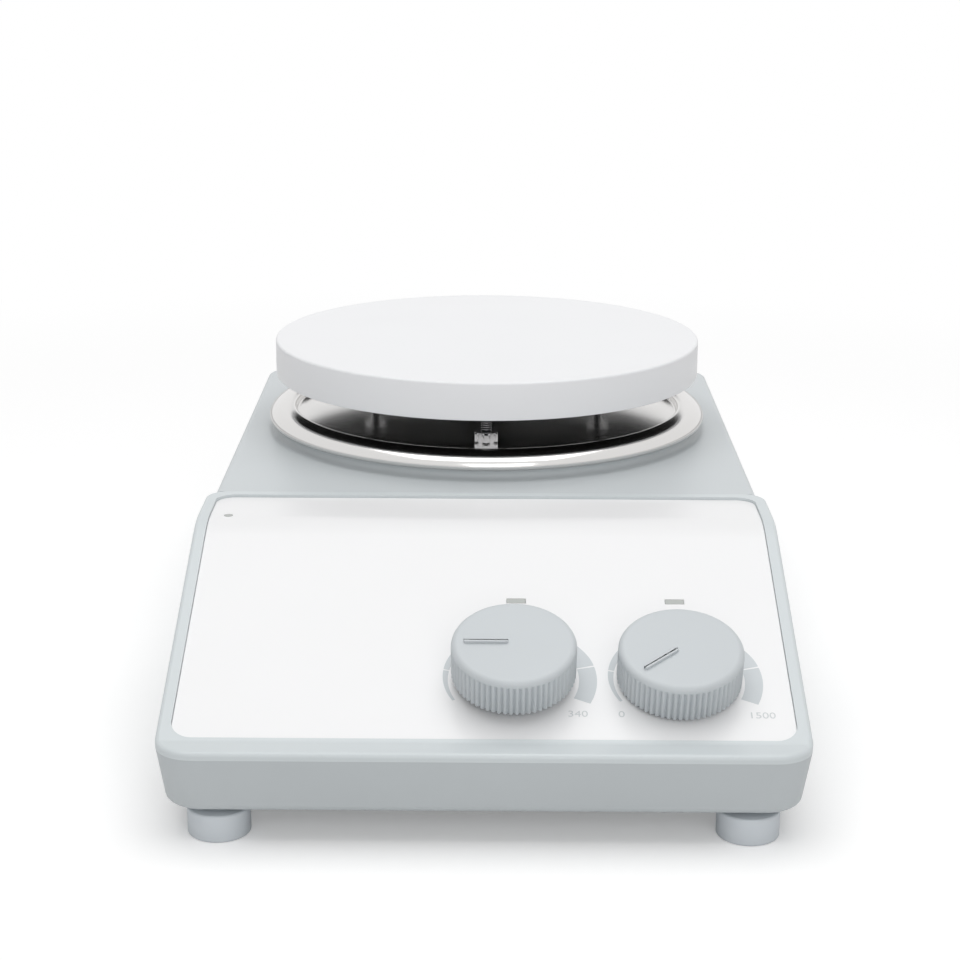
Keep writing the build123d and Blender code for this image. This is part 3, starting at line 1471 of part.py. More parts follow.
# Rocker switch: frame with a flange, and the rocker on its pin, resting with its lower end in
rocker_pivot_y = housing_rear_y + rocker_flange - rocker_pivot_sink
with BuildPart() as rocker_frame:
    with BuildSketch(rear_frame):
        with Locations((-rocker_x, 0)):
            RectangleRounded(rocker_flange_width, rocker_flange_height, rocker_flange_corner)
    extrude(amount=rocker_flange)
    with BuildSketch(rear_frame):
        with Locations((-rocker_x, 0)):
            Rectangle(rocker_body_width, rocker_body_height)
    extrude(amount=-rocker_body_depth)
    with BuildSketch(rear_frame.offset(rocker_flange)):
        with Locations((-rocker_x, 0)):
            Rectangle(rocker_cavity_width, rocker_cavity_height)
    extrude(amount=-rocker_cavity_depth, mode=Mode.SUBTRACT)
    with BuildSketch(Plane(origin=(rocker_x, rocker_pivot_y, fitting_z), x_dir=(0, 1, 0), z_dir=(1, 0, 0))):
        Circle(rocker_pin_diameter / 2 + rocker_pin_clearance)
    extrude(amount=rocker_body_width / 2, both=True, mode=Mode.SUBTRACT)
rocker_frame.part.label = "rocker_frame"
export_step(rocker_frame.part, "parts/rocker_frame.step")

rocker_side = Plane(
    origin=(rocker_x, rocker_pivot_y, fitting_z),
    x_dir=(0, cos(radians(rocker_tilt)), -sin(radians(rocker_tilt))),
    z_dir=(1, 0, 0),
)
with BuildPart() as power_rocker:
    with BuildSketch(rocker_side):
        with BuildLine():
            Polyline(
                (rocker_end_height, -rocker_half_length),
                (rocker_middle_height, 0),
                (rocker_end_height, rocker_half_length),
                (0, rocker_half_length),
                (-rocker_back_depth, rocker_back_half),
                (-rocker_back_depth, -rocker_back_half),
                (0, -rocker_half_length),
                close=True,
            )
        make_face()
    extrude(amount=rocker_width / 2, both=True)
    with BuildSketch(rocker_side):
        Circle(rocker_pin_diameter / 2)
    extrude(amount=rocker_body_width / 2, both=True)
power_rocker.part.label = "power_rocker"
export_step(power_rocker.part, "parts/power_rocker.step")

# Threaded socket for a support rod
with BuildPart() as rod_socket:
    with BuildSketch(rear_frame):
        with Locations((-socket_x, 0)):
            Circle(socket_flange_diameter / 2)
    extrude(amount=socket_flange)
    with BuildSketch(rear_frame):
        with Locations((-socket_x, 0)):
            Circle(socket_outer_diameter / 2)
    extrude(amount=-(socket_length - socket_flange))
    with BuildSketch(rear_frame.offset(socket_flange)):
        with Locations((-socket_x, 0)):
            Circle(socket_thread_diameter / 2)
    extrude(amount=-socket_thread_length, mode=Mode.SUBTRACT)
rod_socket.part.label = "rod_socket"
export_step(rod_socket.part, "parts/rod_socket.step")

# Case screws, from under the tray up into the bezel and the rear housing
with BuildPart() as case_screws:
    with BuildSketch(Plane.XY.offset(tray_bottom_z + case_screw_sink - case_screw_head_height)):
        with Locations(*case_boss_spots):
            Circle(case_screw_head / 2)
    extrude(amount=case_screw_head_height)
    with BuildSketch(Plane.XY.offset(tray_bottom_z + case_screw_sink)):
        with Locations(*case_boss_spots):
            Circle(case_screw_diameter / 2)
    extrude(amount=tray_top_z + case_screw_bite - tray_bottom_z - case_screw_sink)
case_screws.part.label = "case_screws"
export_step(case_screws.part, "parts/case_screws.step")
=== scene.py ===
import json
from math import atan2, cos, pi, radians, sin

import bmesh
import bpy
from mathutils import Matrix, Vector


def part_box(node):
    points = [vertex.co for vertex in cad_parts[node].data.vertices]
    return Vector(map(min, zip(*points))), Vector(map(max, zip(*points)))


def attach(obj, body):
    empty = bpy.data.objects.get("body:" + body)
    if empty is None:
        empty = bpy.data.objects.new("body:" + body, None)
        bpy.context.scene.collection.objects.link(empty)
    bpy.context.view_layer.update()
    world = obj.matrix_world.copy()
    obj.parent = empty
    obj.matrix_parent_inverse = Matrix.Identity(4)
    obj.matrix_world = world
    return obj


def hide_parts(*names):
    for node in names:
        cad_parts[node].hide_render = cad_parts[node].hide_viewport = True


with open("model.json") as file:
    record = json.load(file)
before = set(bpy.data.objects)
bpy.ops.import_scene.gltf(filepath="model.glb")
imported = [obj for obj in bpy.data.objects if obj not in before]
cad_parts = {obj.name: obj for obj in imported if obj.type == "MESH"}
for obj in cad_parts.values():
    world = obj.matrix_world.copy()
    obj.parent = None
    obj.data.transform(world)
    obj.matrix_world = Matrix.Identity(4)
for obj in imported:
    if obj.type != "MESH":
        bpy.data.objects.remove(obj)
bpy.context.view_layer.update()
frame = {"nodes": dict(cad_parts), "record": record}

# The pieces are drawn in millimetres, and their meshes are scaled to metres when they are finished.
# The relief of the materials, the floor, the lamps and the camera are in metres.
MM = 0.001

# The sloping panel
bend_y = -50.5
bezel_top_z = 56.0
slope_foot_y = -133.0
lip_z = 24.6
panel_sink = 0.8
panel_angle = atan2(bezel_top_z - lip_z, bend_y - slope_foot_y)

# The knobs on it: x across, s up the slope from the bend
control_s = -64.2
knob_radius = 15.7
knob_height = 10.3
knob_edge = 1.7
knob_edge_steps = 8
knob_wall = 2.6
knob_hollow = 6.2
skirt_chamfer = 0.3
hub_radius = 5.0
shaft_hole = 3.02
knobs = {
    "heat": {"x": 7.3, "gap": 2.1, "pointer": 180.0, "hub_bottom": 2.9},
    "stir": {"x": 48.9, "gap": 0.6, "pointer": 220.0, "hub_bottom": 4.4},
}

# Flutes of the knobs' skirts: at full depth up to flute_end below the rounded edge, then fading out
flute_count = 64
flute_depth = 0.75
flute_steps = 6
flute_sharpness = 1.5
flute_end = 0.4
flute_fade = 0.1
flute_fade_share = 0.35

# Raised pointers on the knobs' faces
pointer_width = 1.3
pointer_rise = 0.7
pointer_sink = 0.2
pointer_inner = 1.4
pointer_outer = 12.5
pointer_end_round = 0.45
pointer_top_round = 0.18

# Printed scales round the knobs, with angles in degrees from the panel's right, and their plain numbers
print_thickness = 0.04
scale_start = 208.0
scale_end = -25.0
scale_parts = 6
scale_steps = 16
scale_gap = 1.5
scale_inner = 16.5
scale_narrow = 0.7
scale_wide = 4.5
scale_growth = 1.25
number_height = 2.15
number_size_share = 1.42
number_widening = 1.12
numbers = (
    ("heat_number_top", "340", 23.1, -77.8),
    ("stir_number_low", "0", 33.9, -77.85),
    ("stir_number_top", "1500", 68.5, -78.0),
)

# Plate and dish, on one axis
plate_y = 58.0
plate_radius = 67.5
plate_top_z = 85.0
plate_rim_z = 73.5
plate_under_z = 81.0
plate_wall = 2.5
plate_top_round = 0.8
plate_rim_round = 0.5
plate_inner_round = 0.4
dish_edge_z = 60.0
dish_crest_z = 64.0
dish_floor_z = 61.0
dish_radius = 70.0
dish_rim_width = 6.8
dish_crown_radius = dish_radius - dish_rim_width
dish_roll = 2.0
dish_wall_round = 1.8
dish_floor_round = 0.6
dish_thickness = 0.8
dish_lip = 1.1
dish_outer_steps = 14
dish_inner_steps = 10

# Posts between them, and the nuts on the posts
post_count = 3
post_first_angle = -90.0
post_radius = 1.6
post_circle = 43.0
post_steps = 24
thread_pitch = 0.7
thread_depth = 0.25
nut_flats = 7.0
nut_bore = 1.65
nut_chamfer = 0.45
nut_face_margin = 0.05
nut_steps = 48
dish_nut_height = 3.2
cover_nut_height = 2.2

# Feet
foot_radius = 7.8
foot_height = 7.0
foot_neck_radius = 3.1
foot_neck_top = 8.5
foot_edge_round = 0.6
foot_neck_round = 0.4
foot_recess_radius = 2.85
foot_recess_depth = 3.0
foot_bore = 1.5
foot_steps = 72
foot_places = {
    "foot_front_left": (-65.0, -130.0),
    "foot_front_right": (65.0, -130.0),
    "foot_rear_left": (-65.0, 127.0),
    "foot_rear_right": (65.0, 127.0),
}

# How the meshes are made
spin_steps = 192
weld_distance = 0.0005
level_tolerance = 0.01

# A ring about this far inside a rounded edge keeps the flat face beyond it flat in its shading
flat_margin = 2.0

# Blender's wave texture turns by this many radians for each unit of its place
wave_turn = 20

# Floor, light and camera
floor_size = 12.0
floor_glow_near = 0.2
floor_fade_start = 0.30
floor_fade_end = 0.60
world_light = 0.42
lamp_aim = Vector((0, 0, 0.05))
soft_boxes = (
    {"name": "overhead_box", "place": (0.0, 0.05, 1.3), "side": 1.3, "power": 10.2},
    {"name": "front_box", "place": (0.2, -1.6, 0.7), "side": 1.0, "power": 5.0},
)
camera_lens = 79.04
camera_place = (0.000665, -0.6059, 0.2256)
camera_pan = 0.00403
camera_dip = 0.27756
camera_roll = 0.00471


def node_tree(name, colour, roughness, metallic=0.0):
    """A new material with its shader's plain values set, and its nodes to add to."""
    material = bpy.data.materials.new(name)
    material.use_nodes = True
    shader = material.node_tree.nodes["Principled BSDF"]
    shader.inputs["Base Color"].default_value = (*colour, 1.0)
    shader.inputs["Roughness"].default_value = roughness
    shader.inputs["Metallic"].default_value = metallic
    return material, material.node_tree.nodes, material.node_tree.links, shader


def add_noise(nodes, links, scale, detail, stretch=(1, 1, 1)):
    """Noise on Object coordinates, with a grain that is longer along an axis where stretch is small."""
    place = nodes.new("ShaderNodeTexCoord")
    mapping = nodes.new("ShaderNodeMapping")
    mapping.inputs["Scale"].default_value = stretch
    noise = nodes.new("ShaderNodeTexNoise")
    noise.inputs["Scale"].default_value = scale
    noise.inputs["Detail"].default_value = detail
    links.new(place.outputs["Object"], mapping.inputs["Vector"])
    links.new(mapping.outputs["Vector"], noise.inputs["Vector"])
    return noise


def add_bump(nodes, links, shader, source, depth, strength):
    """Turns a pattern into relief of a given depth in metres."""
    bump = nodes.new("ShaderNodeBump")
    bump.inputs["Strength"].default_value = strength
    bump.inputs["Distance"].default_value = depth
    links.new(source, bump.inputs["Height"])
    links.new(bump.outputs["Normal"], shader.inputs["Normal"])


def add_gloss(nodes, links, shader, source, low, high):
    """Lets the roughness follow a pattern between two values."""
    spread = nodes.new("ShaderNodeMapRange")
    spread.inputs["To Min"].default_value = low
    spread.inputs["To Max"].default_value = high
    links.new(source, spread.inputs["Value"])
    links.new(spread.outputs["Result"], shader.inputs["Roughness"])


def add_tint(nodes, links, shader, source, colour, change):
    """Lets the colour drift lighter and darker with a pattern, by a share of itself."""
    ramp = nodes.new("ShaderNodeValToRGB")
    ramp.color_ramp.elements[0].position = 0.3
    ramp.color_ramp.elements[1].position = 0.7
    ramp.color_ramp.elements[0].color = (*[c * (1 - change) for c in colour], 1.0)
    ramp.color_ramp.elements[1].color = (*[min(c * (1 + change), 1.0) for c in colour], 1.0)
    links.new(source, ramp.inputs["Fac"])
    links.new(ramp.outputs["Color"], shader.inputs["Base Color"])


def moulded(name, colour, roughness, grain, depth, drift=0.015):
    """Moulded or coated surface: fine grain, slow drift of colour, uneven gloss."""
    material, nodes, links, shader = node_tree(name, colour, roughness)
    fine = add_noise(nodes, links, scale=grain, detail=3.0).outputs["Fac"]
    slow = add_noise(nodes, links, scale=22.0, detail=2.0).outputs["Fac"]
    add_bump(nodes, links, shader, fine, depth=depth, strength=0.5)
    add_tint(nodes, links, shader, slow, colour, change=drift)
    add_gloss(nodes, links, shader, fine, low=roughness - 0.05, high=roughness + 0.05)
    return material


def turned_metal(name, colour, roughness, centre, spacing, depth):
    """Metal with faint rings round a vertical axis, as pressing and polishing leave them."""
    material, nodes, links, shader = node_tree(name, colour, roughness, metallic=1.0)
    place = nodes.new("ShaderNodeTexCoord")
    mapping = nodes.new("ShaderNodeMapping")
    mapping.inputs["Location"].default_value = (-centre[0], -centre[1], 0)
    mapping.inputs["Scale"].default_value = (1, 1, 0)
    reach = nodes.new("ShaderNodeVectorMath")
    reach.operation = "LENGTH"
    rings = nodes.new("ShaderNodeTexNoise")
    rings.noise_dimensions = "1D"
    rings.inputs["Scale"].default_value = 1.0 / (spacing * MM)
    rings.inputs["Detail"].default_value = 3.0
    links.new(place.outputs["Object"], mapping.inputs["Vector"])
    links.new(mapping.outputs["Vector"], reach.inputs[0])
    links.new(reach.outputs["Value"], rings.inputs["W"])
    add_bump(nodes, links, shader, rings.outputs["Fac"], depth=depth, strength=0.35)
    smear = add_noise(nodes, links, scale=60.0, detail=3.0).outputs["Fac"]
    add_gloss(nodes, links, shader, smear, low=roughness - 0.03, high=roughness + 0.06)
    return material


def drawn_metal(name, colour, roughness, stretch):
    """Rolled, drawn or plated metal: a fine grain, which runs along the axis where stretch is small."""
    material, nodes, links, shader = node_tree(name, colour, roughness, metallic=1.0)
    grain = add_noise(nodes, links, scale=900.0, detail=4.0, stretch=stretch).outputs["Fac"]
    add_bump(nodes, links, shader, grain, depth=0.00001, strength=0.4)
    add_gloss(nodes, links, shader, grain, low=roughness - 0.08, high=roughness + 0.1)
    slow = add_noise(nodes, links, scale=70.0, detail=2.0).outputs["Fac"]
    add_tint(nodes, links, shader, slow, colour, change=0.04)
    return material


def banded(name, colour, roughness, metallic, direction, spacing, depth):
    """Layers or turns of wire: bands across one axis, one each 2 * pi * spacing millimetres."""
    material, nodes, links, shader = node_tree(name, colour, roughness, metallic)
    place = nodes.new("ShaderNodeTexCoord")
    bands = nodes.new("ShaderNodeTexWave")
    bands.wave_type = "BANDS"
    bands.bands_direction = direction
    bands.inputs["Scale"].default_value = 1.0 / (spacing * MM * wave_turn)
    bands.inputs["Distortion"].default_value = 0.15
    links.new(place.outputs["Object"], bands.inputs["Vector"])
    add_bump(nodes, links, shader, bands.outputs["Fac"], depth=depth, strength=0.7)
    add_tint(nodes, links, shader, bands.outputs["Fac"], colour, change=0.15)
    return material


def clear_glass(name, colour, roughness):
    """Drawn glass tube, with a faint flow in its surface."""
    material, nodes, links, shader = node_tree(name, colour, roughness)
    shader.inputs["Transmission Weight"].default_value = 0.9
    flow = add_noise(nodes, links, scale=200.0, detail=2.0).outputs["Fac"]
    add_bump(nodes, links, shader, flow, depth=0.00001, strength=0.2)
    return material


def painted_shade_black():
    """Near-black, barely glossy surface: painted shade, standing for the shade under the plate, which the
    dish reflects darkly.
    """
    material = moulded("cover_painted_shade_black", (0.012, 0.012, 0.012), 0.8, 900.0, 0.00003, 0.2)
    shader = material.node_tree.nodes["Principled BSDF"]
    shader.inputs["Specular IOR Level"].default_value = 0.1
    return material


looks = {
    "housing_grey": moulded("housing_powder_coat", (0.60, 0.635, 0.65), 0.42, 1500.0, 0.00002),
    "bezel_grey": moulded("bezel_plastic", (0.64, 0.685, 0.70), 0.38, 1900.0, 0.000015),
    "panel_white": moulded("panel_overlay", (0.88, 0.88, 0.885), 0.30, 2600.0, 0.000004, 0.004),
    "foot_rubber": moulded("foot_rubber", (0.64, 0.68, 0.715), 0.62, 1200.0, 0.00004),
    "lamp_clear": moulded("lamp_lens", (0.42, 0.44, 0.42), 0.22, 900.0, 0.000005),
    "board_green": moulded("circuit_board", (0.02, 0.11, 0.05), 0.4, 700.0, 0.00002, 0.2),
    "knob_grey": moulded("knob_plastic", (0.575, 0.61, 0.63), 0.45, 2100.0, 0.00001),
    "silicone": moulded("silicone", (0.50, 0.44, 0.35), 0.55, 800.0, 0.00002),
    "plate_coating": moulded("plate_coating", (0.86, 0.865, 0.88), 0.33, 2400.0, 0.000006, 0.006),
    "insulation": moulded("insulation_fibre", (0.60, 0.56, 0.47), 0.9, 500.0, 0.0002, 0.1),
    "black_plastic": moulded("black_plastic", (0.018, 0.018, 0.02), 0.48, 1500.0, 0.00002, 0.2),
    "rocker_black": moulded("rocker_plastic", (0.012, 0.012, 0.013), 0.22, 2000.0, 0.000005, 0.1),
    "magnet_ferrite": moulded("magnet_ferrite", (0.03, 0.03, 0.033), 0.55, 900.0, 0.00004, 0.2),
    "capacitor_sleeve": moulded("capacitor_sleeve", (0.015, 0.02, 0.05), 0.3, 1200.0, 0.00001, 0.1),
    "zinc_steel": drawn_metal("zinc_plate", (0.66, 0.66, 0.65), 0.32, (1, 1, 1)),
    "pot_metal": drawn_metal("plated_cup", (0.60, 0.60, 0.62), 0.34, (1, 1, 0.2)),
    "shaft_brass": drawn_metal("turned_brass", (0.72, 0.55, 0.28), 0.28, (1, 1, 0.2)),
    "post_steel": drawn_metal("bright_steel", (0.68, 0.68, 0.69), 0.22, (1, 1, 0.2)),
    "heater_steel": drawn_metal("heater_sheath", (0.22, 0.20, 0.19), 0.45, (1, 1, 1)),
    "cover_steel": drawn_metal("rolled_steel", (0.52, 0.53, 0.55), 0.36, (0.1, 1, 1)),
    "heatsink_aluminium": drawn_metal("extruded_aluminium", (0.62, 0.63, 0.65), 0.35, (1, 0.05, 1)),
    "dish_steel": turned_metal("polished_dish", (0.70, 0.69, 0.68), 0.13, (0, plate_y * MM), 0.35, 0.000004),
    "lamination_steel": banded("laminations", (0.25, 0.25, 0.26), 0.45, 0.9, "Z", 0.5, 0.00005),
    "copper_wire": banded("copper_winding", (0.55, 0.22, 0.09), 0.3, 0.8, "X", 0.4, 0.00012),
    "fuse_glass": clear_glass("fuse_tube", (0.9, 0.93, 0.93), 0.06),
}

# Two pieces are darker than the rest of their slot, as painted shade: the plate's back cover is near black
# for the shade under the plate, and the base tray is darker for the shade on its low sides
painted_shade_looks = {
    "plate_back_cover": painted_shade_black(),
    # The base tray: a darker copy of the housing's powder coat, painted shade on its low upright sides
    "base_tray": moulded("tray_coat_painted_shade", (0.52, 0.555, 0.57), 0.45, 1500.0, 0.00002),
}
print_ink = moulded("scale_ink", (0.60, 0.635, 0.655), 0.42, 2600.0, 0.000004, 0.01)
number_ink = moulded("number_ink", (0.62, 0.64, 0.65), 0.45, 2600.0, 0.000004, 0.01)

slot_of = {row["node"]: row["material_slot"] for row in frame["record"]["subparts"]}
for name, node in frame["nodes"].items():
    node.data.materials.clear()
    node.data.materials.append(painted_shade_looks.get(name, looks[slot_of[name]]))


def panel_place(x, s, height):
    """The panel's own axes, set at x, s up the slope and a height over the bezel's surface."""
    across = Vector((1, 0, 0))
    up_slope = Vector((0, cos(panel_angle), sin(panel_angle)))
    outward = across.cross(up_slope)
    place = Matrix((across, up_slope, outward)).transposed().to_4x4()
    place.translation = Vector((0, bend_y, bezel_top_z)) + across * x + up_slope * s + outward * height
    return place


def post_place(index, base):
    """The place of a piece on one of the posts, which stand evenly round the plate's axis."""
    angle = radians(post_first_angle + 360 * index / post_count)
    return Matrix.Translation((post_circle * cos(angle), plate_y + post_circle * sin(angle), base))


def finished(name, shape, place, material, body, slot, *stood_for, angle=35.0):
    """Puts a shape in its place, in metres, and makes it a piece that rides on a body."""
    bmesh.ops.remove_doubles(shape, verts=shape.verts, dist=weld_distance)
    bmesh.ops.recalc_face_normals(shape, faces=shape.faces)
    bmesh.ops.transform(shape, matrix=Matrix.Scale(MM, 4) @ place, verts=shape.verts)
    for face in shape.faces:
        face.smooth = True
    for edge in shape.edges:
        edge.smooth = edge.calc_face_angle(0.0) < radians(angle)
    mesh = bpy.data.meshes.new(name)
    shape.to_mesh(mesh)
    shape.free()
    mesh.materials.append(material)
    piece = bpy.data.objects.new(name, mesh)
    bpy.context.scene.collection.objects.link(piece)
    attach(piece, body)
    if stood_for:
        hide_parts(*stood_for)


def spun(points, rounds, closed=False, steps=spin_steps):
    """Spins a profile of (radius, height) points, with rounds at some corners as (corner, radius, steps)."""
    shape = bmesh.new()
    corners = [shape.verts.new((r, 0, z)) for r, z in points]
    pairs = list(zip(corners, corners[1:]))
    if closed:
        pairs.append((corners[-1], corners[0]))
    for pair in pairs:
        shape.edges.new(pair)
    for corner, radius, round_steps in rounds:
        bmesh.ops.bevel(
            shape, geom=[corners[corner]], offset=radius, affect="VERTICES",
            segments=round_steps, profile=0.5, material=-1,
        )
    bmesh.ops.spin(
        shape, geom=shape.verts[:] + shape.edges[:], axis=(0, 0, 1), cent=(0, 0, 0),
        steps=steps, angle=2 * pi, use_merge=True,
    )
    return shape


def bridge(shape, first, second):
    """Joins two rings of as many corners with a band of faces."""
    chosen = set(first) | set(second)
    loops = [e for e in shape.edges if e.verts[0] in chosen and e.verts[1] in chosen]
    bmesh.ops.bridge_loops(shape, edges=loops)


def quarter_ellipse(width, height, steps):
    """Points of a quarter ellipse about the crown of the dish's rim, from its outer edge up to its crest."""
    turns = [pi / 2 * step / steps for step in range(steps + 1)]
    return [(dish_crown_radius + width * cos(turn), dish_edge_z + height * sin(turn)) for turn in turns]


# Work plate: a shallow cap, open below, with a soft top edge
plate_place = Matrix.Translation((0, plate_y, 0))
plate = spun(
    [
        (0, plate_top_z),
        (plate_radius - flat_margin, plate_top_z),
        (plate_radius, plate_top_z),
        (plate_radius, plate_rim_z),
        (plate_radius - plate_wall, plate_rim_z),
        (plate_radius - plate_wall, plate_under_z),
        (0, plate_under_z),
    ],
    [(2, plate_top_round, 6), (3, plate_rim_round, 4), (4, plate_inner_round, 3)],
)
finished("plate_cap", plate, plate_place, looks["plate_coating"], "housing", "plate_coating", "work_plate")

# Dish: one sheet, from the lip under its rolled rim down to its flat floor, back along its underside
wall_x = dish_crown_radius - dish_roll
rim_rise = dish_crest_z - dish_edge_z
under_floor_z = dish_floor_z - dish_thickness
lip_line = [
    (dish_radius - dish_lip * (1 - cos(turn)), dish_edge_z - dish_lip * sin(turn))
    for turn in (radians(90), radians(60), radians(30))
]
outer_line = quarter_ellipse(dish_rim_width, rim_rise, dish_outer_steps)
inner_line = quarter_ellipse(dish_rim_width - dish_thickness, rim_rise - dish_thickness, dish_inner_steps)
dish_points = (
    lip_line
    + outer_line
    + [(wall_x, dish_crest_z), (wall_x, dish_floor_z)]
    + [(wall_x - flat_margin, dish_floor_z), (0, dish_floor_z)]
    + [(0, under_floor_z), (wall_x + dish_thickness, under_floor_z)]
    + [(wall_x + dish_thickness, dish_crest_z - dish_thickness)]
    + inner_line[::-1]
)
wall_corner = len(lip_line) + len(outer_line)
dish = spun(
    dish_points,
    [(wall_corner, dish_wall_round, 6), (wall_corner + 1, dish_floor_round, 4)],
    closed=True,
)
finished("dish_sheet", dish, plate_place, looks["dish_steel"], "housing", "dish_steel", "drip_dish")


def post_shape(low_z, high_z):
    """A rod with level ridges at a fine thread's pitch, from end to end."""
    thread = [(0, low_z), (post_radius - thread_depth, low_z)]
    for turn in range(int((high_z - low_z) / thread_pitch)):
        base = low_z + turn * thread_pitch
        thread += [(post_radius, base + thread_pitch / 2), (post_radius - thread_depth, base + thread_pitch)]
    thread.append((0, base + thread_pitch))
    return spun(thread, [], steps=post_steps)


def nut_shape(height):
    """A nut with both ends chamfered and a corner towards the front."""
    shape = bmesh.new()

    def ring(level, limit):
        made = bmesh.ops.create_circle(shape, segments=nut_steps, radius=1.0)["verts"]
        for index, corner in enumerate(made):
            from_flat = (2 * pi * index / nut_steps) % (pi / 3) - pi / 6
            corner.co *= min(nut_flats / 2 / cos(from_flat), limit)
            corner.co.z = level
        return made

    face_limit = nut_flats / 2 + nut_face_margin
    rings = [
        ring(0, nut_bore),
        ring(0, face_limit),
        ring(nut_chamfer, nut_flats),
        ring(height - nut_chamfer, nut_flats),
        ring(height, face_limit),
        ring(height, nut_bore),
    ]
    for first, second in zip(rings, rings[1:] + rings[:1]):
        bridge(shape, first, second)
    return shape


# Posts, and on each a nut over the dish and a nut under the plate's cover
posts_low, posts_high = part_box("plate_posts")
for index in range(post_count):
    post = post_shape(posts_low.z / MM, posts_high.z / MM)
    stood_for = ("plate_posts",) if index == 0 else ()
    finished(
        f"plate_post_{index + 1}", post, post_place(index, 0), looks["post_steel"],
        "housing", "post_steel", *stood_for,
    )
nuts_low, nuts_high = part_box("post_nuts")
for index in range(post_count):
    for kind, height, base in (
        ("dish", dish_nut_height, nuts_low.z / MM),
        ("cover", cover_nut_height, nuts_high.z / MM - cover_nut_height),
    ):
        stood_for = ("post_nuts",) if kind == "dish" and index == 0 else ()
        finished(
            f"{kind}_nut_{index + 1}", nut_shape(height), post_place(index, base), looks["post_steel"],
            "housing", "post_steel", *stood_for, angle=20.0,
        )

# Feet: a disc on a narrow neck, hollow below for its screw
for name, (x, y) in foot_places.items():
    foot = spun(
        [
            (foot_bore, foot_neck_top),
            (foot_neck_radius, foot_neck_top),
            (foot_neck_radius, foot_height),
            (foot_radius, foot_height),
            (foot_radius, 0),
            (foot_recess_radius, 0),
            (foot_recess_radius, foot_recess_depth),
            (foot_bore, foot_recess_depth),
        ],
        [(3, foot_edge_round, 5), (4, foot_edge_round, 4), (2, foot_neck_round, 4)],
        closed=True,
        steps=foot_steps,
    )
    finished(
        f"{name}_pad", foot, Matrix.Translation((x, y, 0)), looks["foot_rubber"],
        "housing", "foot_rubber", name,
    )


def edges_of(corners):
    """The edges that meet any of these corners, each of them once."""
    return list(dict.fromkeys(e for v in corners if v.is_valid for e in v.link_edges))


def add_pointer(shape, pointer_angle):
    """A raised bar on the knob's face, with round ends and a soft top."""
    bar = bmesh.ops.create_cube(shape, size=1.0)["verts"]
    length = pointer_outer - pointer_inner
    bmesh.ops.scale(shape, vec=(length, pointer_width, pointer_rise + pointer_sink), verts=bar)
    middle = (pointer_inner + pointer_outer) / 2
    middle_z = knob_height + (pointer_rise - pointer_sink) / 2
    bmesh.ops.translate(shape, vec=(middle, 0, middle_z), verts=bar)
    bmesh.ops.rotate(
        shape, cent=(0, 0, 0), matrix=Matrix.Rotation(radians(pointer_angle), 3, "Z"), verts=bar
    )
    upright = [e for e in edges_of(bar) if abs(e.verts[0].co.z - e.verts[1].co.z) > pointer_rise / 2]
    rounded = bmesh.ops.bevel(
        shape, geom=upright, offset=pointer_end_round, affect="EDGES", segments=4, profile=0.5, material=-1
    )
    bar_edges = dict.fromkeys([e for f in rounded["faces"] for e in f.edges] + edges_of(bar))
    top_z = knob_height + pointer_rise - level_tolerance
    top = [e for e in bar_edges if e.is_valid and all(v.co.z > top_z for v in e.verts)]
    bmesh.ops.bevel(
        shape, geom=top, offset=pointer_top_round, affect="EDGES", segments=2, profile=0.5, material=-1
    )


def knob_shape(pointer_angle, hub_bottom):
    """Fluted skirt, rounded edge and face, hollow back with its hub, and a raised pointer."""
    shape = bmesh.new()
    around = flute_count * flute_steps

    def ring(radius, height, groove):
        made = bmesh.ops.create_circle(shape, segments=around, radius=radius)["verts"]
        for index, corner in enumerate(made):
            phase = 2 * pi * (index % flute_steps) / flute_steps
            inward = groove * flute_depth * (0.5 + 0.5 * cos(phase)) ** flute_sharpness
            corner.co *= (radius - inward) / radius
            corner.co.z = height
        return made

    edge_base = knob_height - knob_edge
    inner_radius = knob_radius - knob_wall
    rings = [
        ring(hub_radius, hub_bottom, 0),
        ring(hub_radius, knob_hollow, 0),
        ring(inner_radius, knob_hollow, 0),
        ring(inner_radius, 0, 0),
        ring(knob_radius - skirt_chamfer, 0, 1),
        ring(knob_radius, skirt_chamfer, 1),
        ring(knob_radius, edge_base - flute_end, 1),
        ring(knob_radius, edge_base + flute_fade, flute_fade_share),
    ]
    for step in range(1, knob_edge_steps + 1):
        turn = pi / 2 * step / knob_edge_steps
        edge_radius = knob_radius - knob_edge * (1 - cos(turn))
        rings.append(ring(edge_radius, edge_base + knob_edge * sin(turn), 0))
    rings.append(ring(knob_radius - knob_edge - flat_margin / 2, knob_height, 0))
    for first, second in zip(rings, rings[1:]):
        bridge(shape, first, second)
    shape.faces.new(rings[-1])
    bore = [ring(shaft_hole, hub_bottom, 0), ring(shaft_hole, knob_hollow, 0)]
    bridge(shape, rings[0], bore[0])
    bridge(shape, bore[0], bore[1])
    shape.faces.new(bore[1])
    add_pointer(shape, pointer_angle)
    return shape


# Knobs: each rides with its own shaft
for name, knob in knobs.items():
    shape = knob_shape(knob["pointer"], knob["hub_bottom"])
    place = panel_place(knob["x"], control_s, knob["gap"] - panel_sink)
    finished(
        f"{name}_knob_cap", shape, place, looks["knob_grey"],
        f"{name}_control", "knob_grey", f"{name}_knob", angle=50.0,
    )


